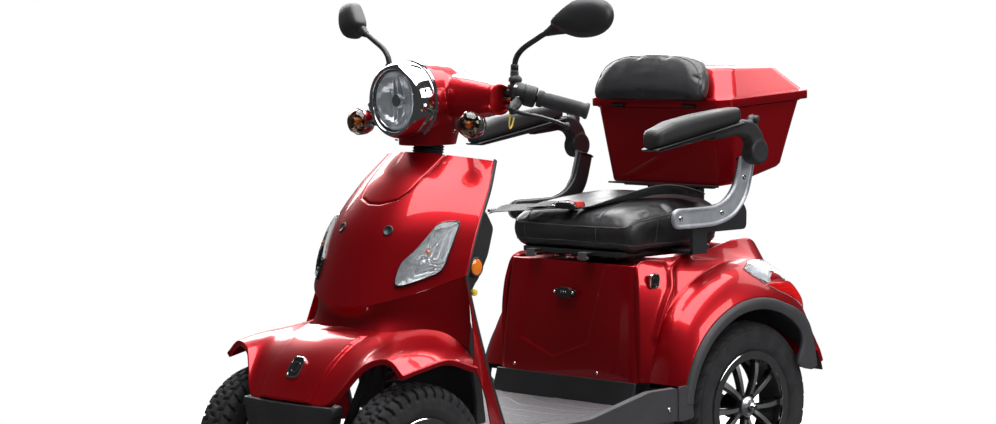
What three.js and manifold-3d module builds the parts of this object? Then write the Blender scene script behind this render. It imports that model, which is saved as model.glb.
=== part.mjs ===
// Four-wheeled mobility scooter with a tiller-style handlebar, a tip-up seat with flip-up
// armrests, and a lidded luggage box whose lid carries the backrest pad.
// Millimetres, +Z up. The front looks along -Y and the rider's left is +X.
// The design frame has its zero on the ground, midway between the axles; the finished group is
// shifted along Y so that its origin is the centre of the base of its bounding box.
import * as THREE from 'three';
import { mergeVertices } from 'three/addons/utils/BufferGeometryUtils.js';
import Module from 'manifold-3d';

const wasm = await Module();
wasm.setup();

// ---------- driving dimensions ----------
const BASE_CENTRE_Y = 83.5;

const WHEELBASE = 1045;
const REAR_AXLE_Y = 525;
const FRONT_AXLE_Y = REAR_AXLE_Y - WHEELBASE;
const REAR_WHEEL = { tyreR: 210, beadR: 127.5, flangeR: 138, halfWidth: 45, centreX: 290, boreR: 12.3 };
const FRONT_WHEEL = { tyreR: 185, beadR: 102, flangeR: 111, halfWidth: 46, centreX: 252, boreR: 10.3 };

const WHEEL_SEGMENTS = 24;
const SKIN = 3;
const FIT_GAP = 0.4;

const KINGPIN_X = 165;
const KINGPIN_R = 8;
const PIN_CLEARANCE = 0.8;
const STEM_CLEARANCE = 1.2;
const STEERING_ARM = 80;

const COLUMN_TOP = [0, -235, 850];
const COLUMN_RAKE = THREE.MathUtils.degToRad(20);

const GRIP_START = [258, -134, 982];
const GRIP_END = [350, -56, 949];
const BAR_R = 11;
const MIRROR_STEM = [
  [214, -160, 1010], [213, -160, 1042], [219, -159, 1070], [245, -156, 1097],
  [278, -153, 1114], [316, -153, 1132],
];
const LEVER_PATH = [[240, -190, 954], [280, -151, 940], [305, -127, 930], [326, -106, 918]];

const ARM_PIVOT = [567, 833];
const ARM_PIVOT_R = 32;
const BRACKET_X = [262, 285.6];
const ARM_X = [286, 322];

const BOX_RIM_Z = 936;
const BOX_FRONT_Y = 541;
const BOX_BOTTOM_Z = 740;
const BOX_BOTTOM_SLOPE = 0.2277;

// ---------- finishes ----------
const FINISHES = {
  red_paint: { color: 0xa80f1c, roughness: 0.22, metalness: 0.35 },
  black_plastic: { color: 0x1b1c1f, roughness: 0.55, metalness: 0.0 },
  grey_plastic: { color: 0x4a4a4e, roughness: 0.6, metalness: 0.0 },
  black_steel: { color: 0x16171a, roughness: 0.45, metalness: 0.5 },
  silver_paint: { color: 0xb9bdc2, roughness: 0.35, metalness: 0.7 },
  chrome: { color: 0xe2e4e8, roughness: 0.06, metalness: 1.0 },
  cast_metal: { color: 0x8b8d90, roughness: 0.5, metalness: 0.85 },
  clear_glass: { color: 0xe9eef2, roughness: 0.05, metalness: 0.0 },
  smoked_lens: { color: 0x8a6a52, roughness: 0.08, metalness: 0.0 },
  red_lens: { color: 0xc8141c, roughness: 0.1, metalness: 0.0 },
  tyre_rubber: { color: 0x232427, roughness: 0.85, metalness: 0.0 },
  leather: { color: 0x222327, roughness: 0.5, metalness: 0.0 },
  webbing: { color: 0x2b2c30, roughness: 0.8, metalness: 0.0 },
  button_red: { color: 0xd23320, roughness: 0.4, metalness: 0.0 },
};

// ---------- making solids ----------
const V = (x, y, z) => new THREE.Vector3(x, y, z);

function signedVolume(positions, triangles) {
  const a = V(0, 0, 0);
  const b = V(0, 0, 0);
  const c = V(0, 0, 0);
  let total = 0;
  for (let i = 0; i < triangles.length; i += 3) {
    a.fromArray(positions, 3 * triangles[i]);
    b.fromArray(positions, 3 * triangles[i + 1]);
    c.fromArray(positions, 3 * triangles[i + 2]);
    total += a.dot(b.cross(c)) / 6;
  }
  return total;
}

// A closed three.js geometry becomes a solid that can be joined and cut.
function solid(geometry) {
  const bare = geometry.clone();
  bare.deleteAttribute('normal');
  bare.deleteAttribute('uv');
  const merged = mergeVertices(bare, 1e-4);
  const positions = merged.attributes.position.array;
  const corners = merged.index.array;
  const triangles = [];
  for (let i = 0; i < corners.length; i += 3) {
    const [a, b, c] = [corners[i], corners[i + 1], corners[i + 2]];
    if (a !== b && b !== c && c !== a) {
      triangles.push(a, b, c);
    }
  }
  if (signedVolume(positions, triangles) < 0) {
    triangles.reverse();
  }
  const vertProperties = new Float32Array(positions);
  const triVerts = new Uint32Array(triangles);
  return new wasm.Manifold(new wasm.Mesh({ numProp: 3, vertProperties, triVerts }));
}

function geometryOf(body) {
  const mesh = body.getMesh();
  const geometry = new THREE.BufferGeometry();
  geometry.setAttribute('position', new THREE.BufferAttribute(mesh.vertProperties, 3));
  geometry.setIndex(new THREE.BufferAttribute(mesh.triVerts, 1));
  geometry.computeVertexNormals();
  return geometry;
}

function join(...bodies) {
  return bodies.reduce((whole, next) => whole.add(next));
}

// The same solid on the other side of the centre plane.
function mirrored(body) {
  const geometry = geometryOf(body);
  geometry.scale(-1, 1, 1);
  return solid(geometry);
}

function onSide(body, side) {
  return side > 0 ? body : mirrored(body);
}

function box(low, high) {
  const size = high.map((value, axis) => value - low[axis]);
  const geometry = new THREE.BoxGeometry(...size);
  geometry.translate(low[0] + size[0] / 2, low[1] + size[1] / 2, low[2] + size[2] / 2);
  return solid(geometry);
}

// An outline pushed straight along one axis: (y, z) along x, (x, z) along y, (x, y) along z.
function prism(axis, outline, from, to) {
  const shape = new THREE.Shape(outline.map(([a, b]) => new THREE.Vector2(a, b)));
  const geometry = new THREE.ExtrudeGeometry(shape, { depth: to - from, bevelEnabled: false });
  const frames = {
    x: [V(0, 1, 0), V(0, 0, 1), V(1, 0, 0), V(from, 0, 0)],
    y: [V(1, 0, 0), V(0, 0, 1), V(0, -1, 0), V(0, to, 0)],
    z: [V(1, 0, 0), V(0, 1, 0), V(0, 0, 1), V(0, 0, from)],
  };
  const [right, up, forward, start] = frames[axis];
  geometry.applyMatrix4(new THREE.Matrix4().makeBasis(right, up, forward).setPosition(start));
  return solid(geometry);
}

// A (radius, height) profile turned about the line through start along direction.
function turned(profile, start, direction, segments = 16) {
  const points = profile.map(([r, h]) => new THREE.Vector2(r, h));
  const geometry = new THREE.LatheGeometry(points, segments);
  const turn = new THREE.Quaternion().setFromUnitVectors(V(0, 1, 0), direction.clone().normalize());
  geometry.applyQuaternion(turn);
  geometry.translate(start.x, start.y, start.z);
  return solid(geometry);
}

function rod(start, end, radius, segments = 10) {
  const axis = end.clone().sub(start);
  const length = axis.length();
  return turned([[0, 0], [radius, 0], [radius, length], [0, length]], start, axis, segments);
}

function tube(points, radius, steps, sides = 10) {
  const circle = new THREE.Shape();
  circle.absarc(0, 0, radius, 0, 2 * Math.PI, false);
  const ring = new THREE.Shape(circle.getSpacedPoints(sides).slice(0, sides));
  const path = new THREE.CatmullRomCurve3(points, false, 'centripetal');
  const options = { steps, extrudePath: path, bevelEnabled: false };
  return solid(new THREE.ExtrudeGeometry(ring, options));
}

function gridGeometry(positions, columns, rows) {
  const layer = (columns + 1) * (rows + 1);
  const at = (i, j, k) => k * layer + j * (columns + 1) + i;
  const index = [];
  const quad = (a, b, c, d) => index.push(a, b, c, a, c, d);
  for (let j = 0; j < rows; j += 1) {
    for (let i = 0; i < columns; i += 1) {
      quad(at(i, j, 0), at(i + 1, j, 0), at(i + 1, j + 1, 0), at(i, j + 1, 0));
      quad(at(i, j, 1), at(i, j + 1, 1), at(i + 1, j + 1, 1), at(i + 1, j, 1));
    }
  }
  for (let i = 0; i < columns; i += 1) {
    quad(at(i, 0, 0), at(i, 0, 1), at(i + 1, 0, 1), at(i + 1, 0, 0));
    quad(at(i, rows, 0), at(i + 1, rows, 0), at(i + 1, rows, 1), at(i, rows, 1));
  }
  for (let j = 0; j < rows; j += 1) {
    quad(at(0, j, 0), at(0, j + 1, 0), at(0, j + 1, 1), at(0, j, 1));
    quad(at(columns, j, 0), at(columns, j, 1), at(columns, j + 1, 1), at(columns, j + 1, 0));
  }
  const geometry = new THREE.BufferGeometry();
  geometry.setAttribute('position', new THREE.Float32BufferAttribute(positions, 3));
  geometry.setIndex(index);
  return geometry;
}

// A sheet of even thickness under surface(u, v). The wall lies from `rise` above the surface to
// `thickness` below that, measured along du x dv.
function sheet(surface, columns, rows, thickness, rise = 0) {
  const step = 1e-3;
  const outer = [];
  const inner = [];
  for (let j = 0; j <= rows; j += 1) {
    for (let i = 0; i <= columns; i += 1) {
      const u = i / columns;
      const v = j / rows;
      const du = surface(Math.min(u + step, 1), v).sub(surface(Math.max(u - step, 0), v));
      const dv = surface(u, Math.min(v + step, 1)).sub(surface(u, Math.max(v - step, 0)));
      const normal = du.cross(dv).normalize();
      const point = surface(u, v);
      outer.push(...point.clone().addScaledVector(normal, rise).toArray());
      inner.push(...point.clone().addScaledVector(normal, rise - thickness).toArray());
    }
  }
  return solid(gridGeometry([...outer, ...inner], columns, rows));
}

// A smooth curve through points, as a function of 0..1.
function through(points) {
  const curve = new THREE.CatmullRomCurve3(points.map((p) => V(...p)), false, 'centripetal');
  return (t) => curve.getPoint(t);
}

// A surface whose v runs along each curve and whose u runs across from curve to curve.
function across(curves) {
  return (u, v) => through(curves.map((curve) => curve(v).toArray()))(u);
}

const parts = [];

function piece(name, finish, body, place = V(0, 0, 0)) {
  const mesh = new THREE.Mesh(geometryOf(body), new THREE.MeshStandardMaterial(FINISHES[finish]));
  mesh.name = name;
  mesh.position.copy(place);
  parts.push(mesh);
}

const SIDES = [['left', 1], ['right', -1]];

// ---------- wheels ----------
function tyre({ tyreR, beadR, flangeR, halfWidth }) {
  const bead = halfWidth - 11;
  const profile = [
    [beadR + FIT_GAP, -bead],
    [flangeR + 2, -bead - 1],
    [flangeR + 14, 2 - halfWidth],
    [tyreR - 22, 2 - halfWidth],
    [tyreR - 5, -0.62 * halfWidth],
    [tyreR, 0],
    [tyreR - 5, 0.62 * halfWidth],
    [tyreR - 22, halfWidth - 2],
    [flangeR + 14, halfWidth - 2],
    [flangeR + 2, bead + 1],
    [beadR + FIT_GAP, bead],
    [beadR + FIT_GAP, -bead],
  ];
  return turned(profile, V(0, 0, 0), V(1, 0, 0), WHEEL_SEGMENTS);
}

// Barrel with two flanges, a hub, and five pairs of spokes in the outer half.
function rim({ beadR, flangeR, halfWidth, boreR }) {
  const bead = halfWidth - 11;
  const barrelR = beadR - 8;
  const hubR = 30;
  const profile = [
    [barrelR, -bead - 6],
    [flangeR, -bead - 6],
    [flangeR, -bead - 1.6],
    [beadR, -bead - 1.6],
    [beadR, bead + 1.6],
    [flangeR, bead + 1.6],
    [flangeR, bead + 6],
    [barrelR, bead + 6],
    [barrelR, -bead - 6],
  ];
  const along = V(1, 0, 0);
  let whole = turned(profile, V(0, 0, 0), along, WHEEL_SEGMENTS);
  const hub = [[boreR, -34], [hubR, -34], [hubR, 34], [boreR, 34], [boreR, -34]];
  const spokes = 5;
  const pairSpread = 0.24;
  for (let k = 0; k < spokes; k += 1) {
    for (const lean of [-1, 1]) {
      const inner = (2 * Math.PI * k) / spokes + lean * 0.1;
      const outer = (2 * Math.PI * k) / spokes + lean * pairSpread;
      const start = [24 * Math.cos(inner), 24 * Math.sin(inner)];
      const end = [(barrelR + 3) * Math.cos(outer), (barrelR + 3) * Math.sin(outer)];
      const wide = [-Math.sin(outer) * 6, Math.cos(outer) * 6];
      const bar = [
        [start[0] - wide[0], start[1] - wide[1]],
        [end[0] - wide[0], end[1] - wide[1]],
        [end[0] + wide[0], end[1] + wide[1]],
        [start[0] + wide[0], start[1] + wide[1]],
      ];
      whole = whole.add(prism('x', bar, 12, 28));
    }
  }
  whole = whole.add(turned(hub, V(0, 0, 0), along, 12));
  return whole.subtract(rod(V(-60, 0, 0), V(60, 0, 0), boreR, 12));
}

for (const [name, side] of SIDES) {
  for (const [end, wheel, y] of [['rear', REAR_WHEEL, REAR_AXLE_Y], ['front', FRONT_WHEEL, FRONT_AXLE_Y]]) {
    const place = V(side * wheel.centreX, y, wheel.tyreR);
    piece(`${end}_tyre_${name}`, 'tyre_rubber', onSide(tyre(wheel), side), place);
    piece(`${end}_rim_${name}`, 'silver_paint', onSide(rim(wheel), side), place);
  }
}

// ---------- chassis ----------
const columnUp = V(0, Math.sin(COLUMN_RAKE), Math.cos(COLUMN_RAKE));

function onColumn(distance) {
  return V(...COLUMN_TOP).addScaledVector(columnUp, distance);
}

const HEAD_TUBE_R = 22;
const STEM_R = 12;

function chassisFrame() {
  const railX = 85;
  const railHalf = 15;
  const railZ = [172, 205];
  const bodies = [];
  for (const side of [-1, 1]) {
    const low = Math.min(side * (railX - railHalf), side * (railX + railHalf));
    const high = Math.max(side * (railX - railHalf), side * (railX + railHalf));
    bodies.push(box([low, -500, railZ[0]], [high, 445, railZ[1]]));
    bodies.push(box([low, 418, railZ[0]], [high, 445, 545]));
    bodies.push(box([low, 418, 518], [high, 640, 545]));
    bodies.push(rod(V(side * railX, -440, 190), onColumn(-435), 12, 8));
  }
  for (const y of [-500, -330, -30, 190, 418]) {
    bodies.push(box([-railX, y, railZ[0]], [railX, y + 28, railZ[1]]));
  }
  bodies.push(box([-railX, 610, 518], [railX, 640, 545]));
  bodies.push(box([-railX, 418, 518], [railX, 445, 545]));
  bodies.push(box([-KINGPIN_X, -535, 172], [KINGPIN_X, -495, 200]));
  for (const side of [-1, 1]) {
    bodies.push(rod(V(side * KINGPIN_X, FRONT_AXLE_Y, 165), V(side * KINGPIN_X, FRONT_AXLE_Y, 207), 15));
    bodies.push(rod(V(side * 116, -505, 190), V(side * 105, -445, 440), 9, 8));
    bodies.push(rod(V(side * 105, -445, 430), V(0, -370, 480), 9, 8));
  }
  bodies.push(rod(onColumn(-455), onColumn(-310), HEAD_TUBE_R));
  let frame = join(...bodies);
  frame = frame.subtract(rod(onColumn(-520), onColumn(-250), STEM_R + STEM_CLEARANCE, 16));
  for (const side of [-1, 1]) {
    const foot = V(side * KINGPIN_X, FRONT_AXLE_Y, 120);
    const head = V(side * KINGPIN_X, FRONT_AXLE_Y, 260);
    frame = frame.subtract(rod(foot, head, KINGPIN_R + PIN_CLEARANCE, 16));
  }
  return frame;
}

function transaxle() {
  const { tyreR: axleZ } = REAR_WHEEL;
  const middle = V(0, REAR_AXLE_Y, axleZ);
  const along = (x) => middle.clone().add(V(x, 0, 0));
  return join(
    rod(along(-222), along(222), 27, 16),
    rod(along(-318), along(318), 11.9, 12),
    rod(along(-78), along(78), 78, 20),
    rod(V(-60, 590, 270), V(90, 590, 270), 62, 16),
    box([-70, 446, 300], [70, 560, 330]),
  );
}

function floorPan() {
  const skirt = [[-252, 206], [246, 214], [236, 289], [140, 289], [-60, 247], [-252, 243]];
  const kerb = [[-252, 226], [243, 226], [236, 288], [140, 288], [-60, 246], [-252, 242]];
  const bodies = [box([-321, -258, 208], [321, 208, 236])];
  for (const side of [-1, 1]) {
    bodies.push(onSide(prism('x', skirt, 320, 345), side));
    bodies.push(onSide(prism('x', kerb, 300, 322), side));
  }
  return join(...bodies);
}

piece('chassis_frame', 'black_steel', chassisFrame());
piece('transaxle', 'cast_metal', transaxle());
piece('battery_pack', 'black_plastic', box([-150, 245, 206], [150, 410, 420]));
piece('floor_pan', 'grey_plastic', floorPan());

// ---------- front body ----------
const bumperOutline = [[-152, -628], [-154, -668], [-80, -686], [80, -686], [154, -668], [152, -628]];
piece('front_bumper', 'black_plastic', prism('z', bumperOutline, 236, 320)
  .subtract(prism('x', [[-700, 230], [-600, 230], [-600, 262], [-640, 250]], -200, 200)));

// Hood and both front fenders: fore-and-aft curves at stations across the width.
function hoodStations() {
  const half = [
    [305, [[-591, 400], [-530, 412], [-458, 421], [-372, 394]]],
    [262, [[-594, 430], [-540, 440], [-470, 444], [-368, 432]]],
    [205, [[-612, 417], [-560, 440], [-500, 455], [-392, 470]]],
    [130, [[-664, 327], [-612, 396], [-556, 442], [-494, 470]]],
    [65, [[-672, 327], [-618, 402], [-560, 446], [-492, 472]]],
  ];
  const left = half.map(([x, row]) => row.map(([y, z]) => [x, y, z]));
  const centre = [[[0, -674, 327], [0, -620, 405], [0, -562, 448], [0, -491, 473]]];
  const right = half.map(([x, row]) => row.map(([y, z]) => [-x, y, z])).reverse();
  return [...left, ...centre, ...right].reverse().map(through);
}

// The apron rises from the hood to the leg shield's lower edge and sweeps back on both sides.
function apron() {
  const top = through([
    [-243, -352, 586], [-200, -408, 556], [-110, -470, 526], [0, -500, 512],
    [110, -470, 526], [200, -408, 556], [243, -352, 586],
  ]);
  const foot = through([
    [-258, -352, 430], [-205, -396, 468], [-118, -490, 468], [0, -494, 470],
    [118, -490, 468], [205, -396, 468], [258, -352, 430],
  ]);
  return (u, v) => foot(u).lerp(top(u), v);
}

// The leg panel behind each front wheel, from the apron's side down to the footboard.
function legPanel(side) {
  const lip = through([[300, -380, 400], [297, -345, 330], [290, -322, 262], [284, -300, 208]]);
  const back = through([[243, -352, 586], [250, -330, 470], [256, -305, 340], [262, -270, 208]]);
  const surface = (u, v) => back(v).lerp(lip(v), u);
  return onSide(sheet(surface, 2, 4, -SKIN), side);
}

const hood = join(
  sheet(across(hoodStations()), 16, 5, SKIN),
  sheet(apron(), 14, 2, SKIN),
  legPanel(1),
  legPanel(-1),
);
piece('front_hood', 'red_paint', hood);

// Leg shield: each row has a centre point (y, z) and an edge point (x, y, z).
const SHIELD_ROWS = [
  { centre: [-510, 519], edge: [247, -353, 592] },
  { centre: [-478, 605], edge: [243, -332, 645] },
  { centre: [-440, 691], edge: [234, -300, 708] },
  { centre: [-372, 778], edge: [214, -250, 776] },
  { centre: [-280, 858], edge: [182, -200, 840] },
];
const shieldCentre = through(SHIELD_ROWS.map(({ centre }) => [0, ...centre]));
const shieldEdge = through(SHIELD_ROWS.map(({ edge }) => edge));

function shieldSurface(u, v) {
  const side = 2 * u - 1;
  const middle = shieldCentre(v);
  const edge = shieldEdge(v);
  const depth = Math.abs(side) ** 2.2;
  const lift = side ** 2;
  return V(
    edge.x * side,
    middle.y + (edge.y - middle.y) * depth,
    middle.z + (edge.z - middle.z) * lift,
  );
}

piece('leg_shield', 'red_paint', sheet(shieldSurface, 12, 6, SKIN));

const lampPatch = (side) => (u, v) => {
  const middle = 0.5 + side * (0.33 - 0.1 * (1 - v));
  return shieldSurface(middle + (u - 0.5) * 0.15, 0.08 + 0.3 * v);
};
for (const [name, side] of SIDES) {
  piece(`side_lamp_${name}`, 'clear_glass', sheet(lampPatch(side), 4, 4, 4, 4.6));
}

const legShieldBackOutline = [
  [-262, 728], [-288, 640], [-306, 590], [-316, 545], [-322, 510], [-300, 400], [-284, 300], [-284, 244],
  [-246, 244], [-268, 400], [-296, 500], [-300, 545], [-266, 574], [-234, 629], [-216, 689], [-241, 731],
];
piece('leg_shield_back', 'black_plastic', prism('x', legShieldBackOutline, -204, 204));

// ---------- rear body ----------
const ARCH_CENTRE = [REAR_AXLE_Y, 212];

function archPoint(degrees, radius, x) {
  const angle = THREE.MathUtils.degToRad(degrees);
  const y = ARCH_CENTRE[0] - radius * Math.cos(angle);
  return [x, y, ARCH_CENTRE[1] + radius * Math.sin(angle)];
}

const ARCH_SPAN = [16, 160];

function archEdge(t) {
  const degrees = ARCH_SPAN[0] + (ARCH_SPAN[1] - ARCH_SPAN[0]) * t;
  return V(...archPoint(degrees, 270, 343));
}

const fenderCrease = through([
  [252, 240, 292], [254, 268, 390], [255, 306, 462], [256, 352, 503], [256, 410, 534],
  [256, 475, 556], [255, 540, 565], [254, 600, 566], [252, 660, 548], [250, 708, 500],
  [248, 728, 430], [246, 734, 330],
]);
const bodyShoulder = through([
  [240, 226, 292], [239, 226, 390], [236, 228, 470], [228, 234, 530], [216, 248, 574],
  [214, 330, 583], [217, 420, 585], [219, 510, 597], [219, 600, 611], [214, 668, 600],
  [208, 704, 520], [206, 716, 340],
]);

const rearBodySurface = across([bodyShoulder, fenderCrease, archEdge]);
for (const [name, side] of SIDES) {
  piece(`rear_body_${name}`, 'red_paint', onSide(sheet(rearBodySurface, 5, 15, SKIN), side));
}

function archTrimOutline() {
  const outer = [];
  const inner = [];
  for (let k = 0; k <= 12; k += 1) {
    const t = k / 12;
    const degrees = 13 + (160 - 13) * t;
    const [, y, z] = archPoint(degrees, 268, 0);
    const [, yIn, zIn] = archPoint(degrees, 240, 0);
    outer.push([y, z]);
    inner.push([yIn, zIn]);
  }
  return [...outer, ...inner.reverse()];
}

for (const [name, side] of SIDES) {
  const trim = prism('x', archTrimOutline(), 344.5, 354);
  piece(`arch_trim_${name}`, 'grey_plastic', onSide(trim, side));
  const lamp = (u, v) => rearBodySurface(0.22 + 0.62 * u, 0.66 + 0.17 * v);
  piece(`tail_lamp_${name}`, 'red_lens', onSide(sheet(lamp, 3, 3, 16, 19.5), side));
}

// The seat box's front panel wraps round to the rear body's corners.
const panelLine = through([
  [-233, 223, 0], [-214, 211, 0], [-120, 208, 0], [0, 207, 0], [120, 208, 0], [214, 211, 0], [233, 223, 0],
]);
const seatBoxSurface = (u, v) => {
  const point = panelLine(u);
  return V(point.x * (1 - 0.085 * v), point.y + 22 * v * v, 291 + 276 * v);
};
piece('seat_box_front', 'red_paint', sheet(seatBoxSurface, 12, 4, SKIN));

const deckLine = through([
  [0, 240, 571], [0, 400, 572], [0, 590, 572], [0, 640, 598],
  [0, 672, 596], [0, 702, 540], [0, 712, 470], [0, 714, 340],
]);
const deckSurface = (u, v) => {
  const point = deckLine(v);
  return V((2 * u - 1) * 203, point.y, point.z);
};
piece('rear_deck', 'red_paint', sheet(deckSurface, 2, 14, SKIN));

// ---------- luggage box ----------
// Level rings of eight corners: half widths, front and rear, with chamfered corners.
function boxRing(z, halfWidth, front, rear, chamfer) {
  return [
    [-halfWidth + chamfer, front], [halfWidth - chamfer, front], [halfWidth, front + chamfer],
    [halfWidth, rear - chamfer], [halfWidth - chamfer, rear], [-halfWidth + chamfer, rear],
    [-halfWidth, rear - chamfer], [-halfWidth, front + chamfer],
  ].map(([x, y]) => V(x, y, z(y)));
}

function loft(rings) {
  const count = rings[0].length;
  const positions = rings.flat().flatMap((point) => point.toArray());
  const index = [];
  for (let j = 0; j + 1 < rings.length; j += 1) {
    for (let i = 0; i < count; i += 1) {
      const next = (i + 1) % count;
      const [a, b, c, d] = [j * count + i, j * count + next, (j + 1) * count + next, (j + 1) * count + i];
      index.push(a, b, c, a, c, d);
    }
  }
  for (let i = 1; i + 1 < count; i += 1) {
    const last = (rings.length - 1) * count;
    index.push(0, i + 1, i);
    index.push(last, last + i, last + i + 1);
  }
  const geometry = new THREE.BufferGeometry();
  geometry.setAttribute('position', new THREE.Float32BufferAttribute(positions, 3));
  geometry.setIndex(index);
  return solid(geometry);
}

const boxBottom = (y) => BOX_BOTTOM_Z + (y - 574) * BOX_BOTTOM_SLOPE;
const boxRim = (y) => BOX_RIM_Z + (y - BOX_FRONT_Y) * 0.055;

function boxForm(inset, floor, top) {
  return loft([
    boxRing((y) => boxBottom(y) + floor, 207 - inset, 574 + inset, 805 - inset, 24),
    boxRing((y) => boxRim(y) + top, 230 - inset, 541 + inset, 855 - inset, 24),
  ]);
}

const luggageBox = boxForm(0, 0, 0).subtract(boxForm(4, 4, 6));
piece('luggage_box', 'red_paint', luggageBox);

function lidForm(inset, drop) {
  return loft([
    boxRing((y) => boxRim(y) + 1 - drop, 237 - inset, 533 + inset, 872 - inset, 24),
    boxRing((y) => boxRim(y) + 24, 234 - inset, 536 + inset, 870 - inset, 30),
    boxRing(() => 1038 - inset, 186 - inset, 586 + inset, 800 - inset, 26),
  ]);
}

piece('box_lid', 'red_paint', lidForm(0, 0).subtract(lidForm(5, 8)));

const padOutline = [
  [-184, 950], [184, 950], [178, 1010], [150, 1058], [96, 1075], [-96, 1075], [-150, 1058], [-178, 1010],
];
const padBack = [[480, 900], [529, 900], [529, 957], [543, 975], [575, 1040], [578, 1080], [480, 1080]];
const padFrontLine = [[470, 940], [496, 940], [494, 1000], [520, 1055], [552, 1080], [470, 1080]];
const padFront = prism('x', padFrontLine, -200, 200);
piece('backrest_pad', 'leather', prism('y', padOutline, 485, 600)
  .intersect(prism('x', padBack, -200, 200)).subtract(padFront));

const rackTop = [
  [580, boxBottom(580) - 7], [780, boxBottom(780) - 7], [780, boxBottom(780) - 1], [580, boxBottom(580) - 1],
];
const rackPost = [[642, 601.5], [670, 599.5], [672, 758], [650, 753]];
piece('box_rack', 'black_steel', join(prism('x', rackTop, -150, 150), prism('x', rackPost, -50, 50)));

// ---------- seat ----------
piece('seat_pan', 'black_plastic', join(
  box([-170, 228, 586], [170, 600, 598]),
  box([-60, 214, 574], [-36, 232, 598]),
  box([36, 214, 574], [60, 232, 598]),
));

const cushionOutline = [
  [222, 600], [207, 622], [203, 642], [212, 664], [240, 684], [300, 702], [380, 714], [480, 723],
  [556, 722], [576, 706], [581, 680], [576, 630], [562, 600],
];
piece('seat_cushion', 'leather', prism('x', cushionOutline, -213, 213));

// Silver side bracket: a bar that runs back beside the cushion and curves up to the pivot.
function bracketOutline() {
  const upper = [[322, 706], [430, 706], [470, 714], [500, 735], [520, 770], [536, 812]];
  const lower = [[596, 812], [599, 752], [580, 712], [550, 680], [510, 660], [460, 653], [324, 653]];
  return [...upper, ...lower, [308, 662], [303, 680], [308, 697]];
}

for (const [name, side] of SIDES) {
  const eye = rod(V(BRACKET_X[0], ...ARM_PIVOT), V(BRACKET_X[1] - 8, ...ARM_PIVOT), 30, 16);
  const bar = prism('x', bracketOutline(), ...BRACKET_X).subtract(
    rod(V(BRACKET_X[1] - 7.6, ...ARM_PIVOT), V(BRACKET_X[1] + 5, ...ARM_PIVOT), 34, 16),
  );
  const bracket = join(
    bar,
    eye,
    box([258, 380, 590], [266, 440, 690]),
    box([172, 380, 590], [264, 440, 598]),
  );
  piece(`armrest_bracket_${name}`, 'silver_paint', onSide(bracket, side));
}

const beltPath = through([
  [206, 470, 727], [160, 420, 724], [110, 360, 719], [70, 305, 711], [36, 262, 700.8], [0, 240, 699.4],
  [-60, 230, 698], [-120, 224, 696], [-200, 220, 693],
]);
const beltSurface = (u, v) => {
  const point = beltPath(v);
  const ahead = beltPath(Math.min(v + 1e-3, 1)).sub(beltPath(Math.max(v - 1e-3, 0)));
  const sideways = V(-ahead.y, ahead.x, 0).normalize();
  return point.addScaledVector(sideways, (u - 0.5) * 46);
};
const BUCKLE = { low: [-36, 212, 697], high: [26, 262, 716.5] };
const buckleBody = box(BUCKLE.low, BUCKLE.high)
  .subtract(box([6, 222, 703.8], [30, 252, 713.4]));
piece('lap_belt', 'webbing', sheet(beltSurface, 1, 20, 2).add(buckleBody));
piece('belt_button', 'button_red', box([10, 222.4, 704.2], [29, 251.6, 713]));

// ---------- armrests ----------
const padBase = (y) => 853 + (y - 186) * 0.178;

for (const [name, side] of SIDES) {
  const disc = rod(V(BRACKET_X[1] - 7.3, ...ARM_PIVOT), V(ARM_X[1], ...ARM_PIVOT), ARM_PIVOT_R, 20);
  const neck = [
    [548, 808], [594, 816], [598, 842], [566, 890], [548, 918], [520, 932], [500, 926],
    [497, padBase(496) - 1], [380, padBase(380) - 1], [340, padBase(340) - 10], [430, 862], [500, 838],
  ];
  const plate = [
    [196, padBase(196) - 1], [500, padBase(500) - 1], [500, padBase(500) - 8], [196, padBase(196) - 10],
  ];
  const arm = join(disc, prism('x', neck, ...ARM_X), prism('x', plate, ARM_X[0] - 10, ARM_X[1] + 2));
  piece(`armrest_arm_${name}`, 'black_plastic', onSide(arm, side));
  const pad = [
    [194, padBase(194)], [190, 880], [199, 897], [260, 917], [350, 931], [440, 940], [484, 943],
    [493, 932], [494, padBase(494)],
  ];
  piece(`armrest_pad_${name}`, 'leather', onSide(prism('x', pad, 270, 334), side));
}

// ---------- handlebar ----------
const gripAxis = V(...GRIP_END).sub(V(...GRIP_START)).normalize();

function alongGrip(distance) {
  return V(...GRIP_START).addScaledVector(gripAxis, distance);
}

function barForm(grow) {
  const bend = alongGrip(-78);
  const middle = [
    V(-bend.x, bend.y, bend.z), V(-120, -200, 984), V(0, -206, 966), V(120, -200, 984), bend,
  ];
  const straight = rod(alongGrip(-80), alongGrip(114), BAR_R + grow, 10);
  return join(
    tube(middle, BAR_R + grow, 8, 10),
    straight,
    mirrored(straight),
    rod(onColumn(-480), onColumn(118), STEM_R + grow, 10),
  );
}

piece('handlebar', 'black_steel', barForm(0));

const LAMP_Z = 977;

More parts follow.
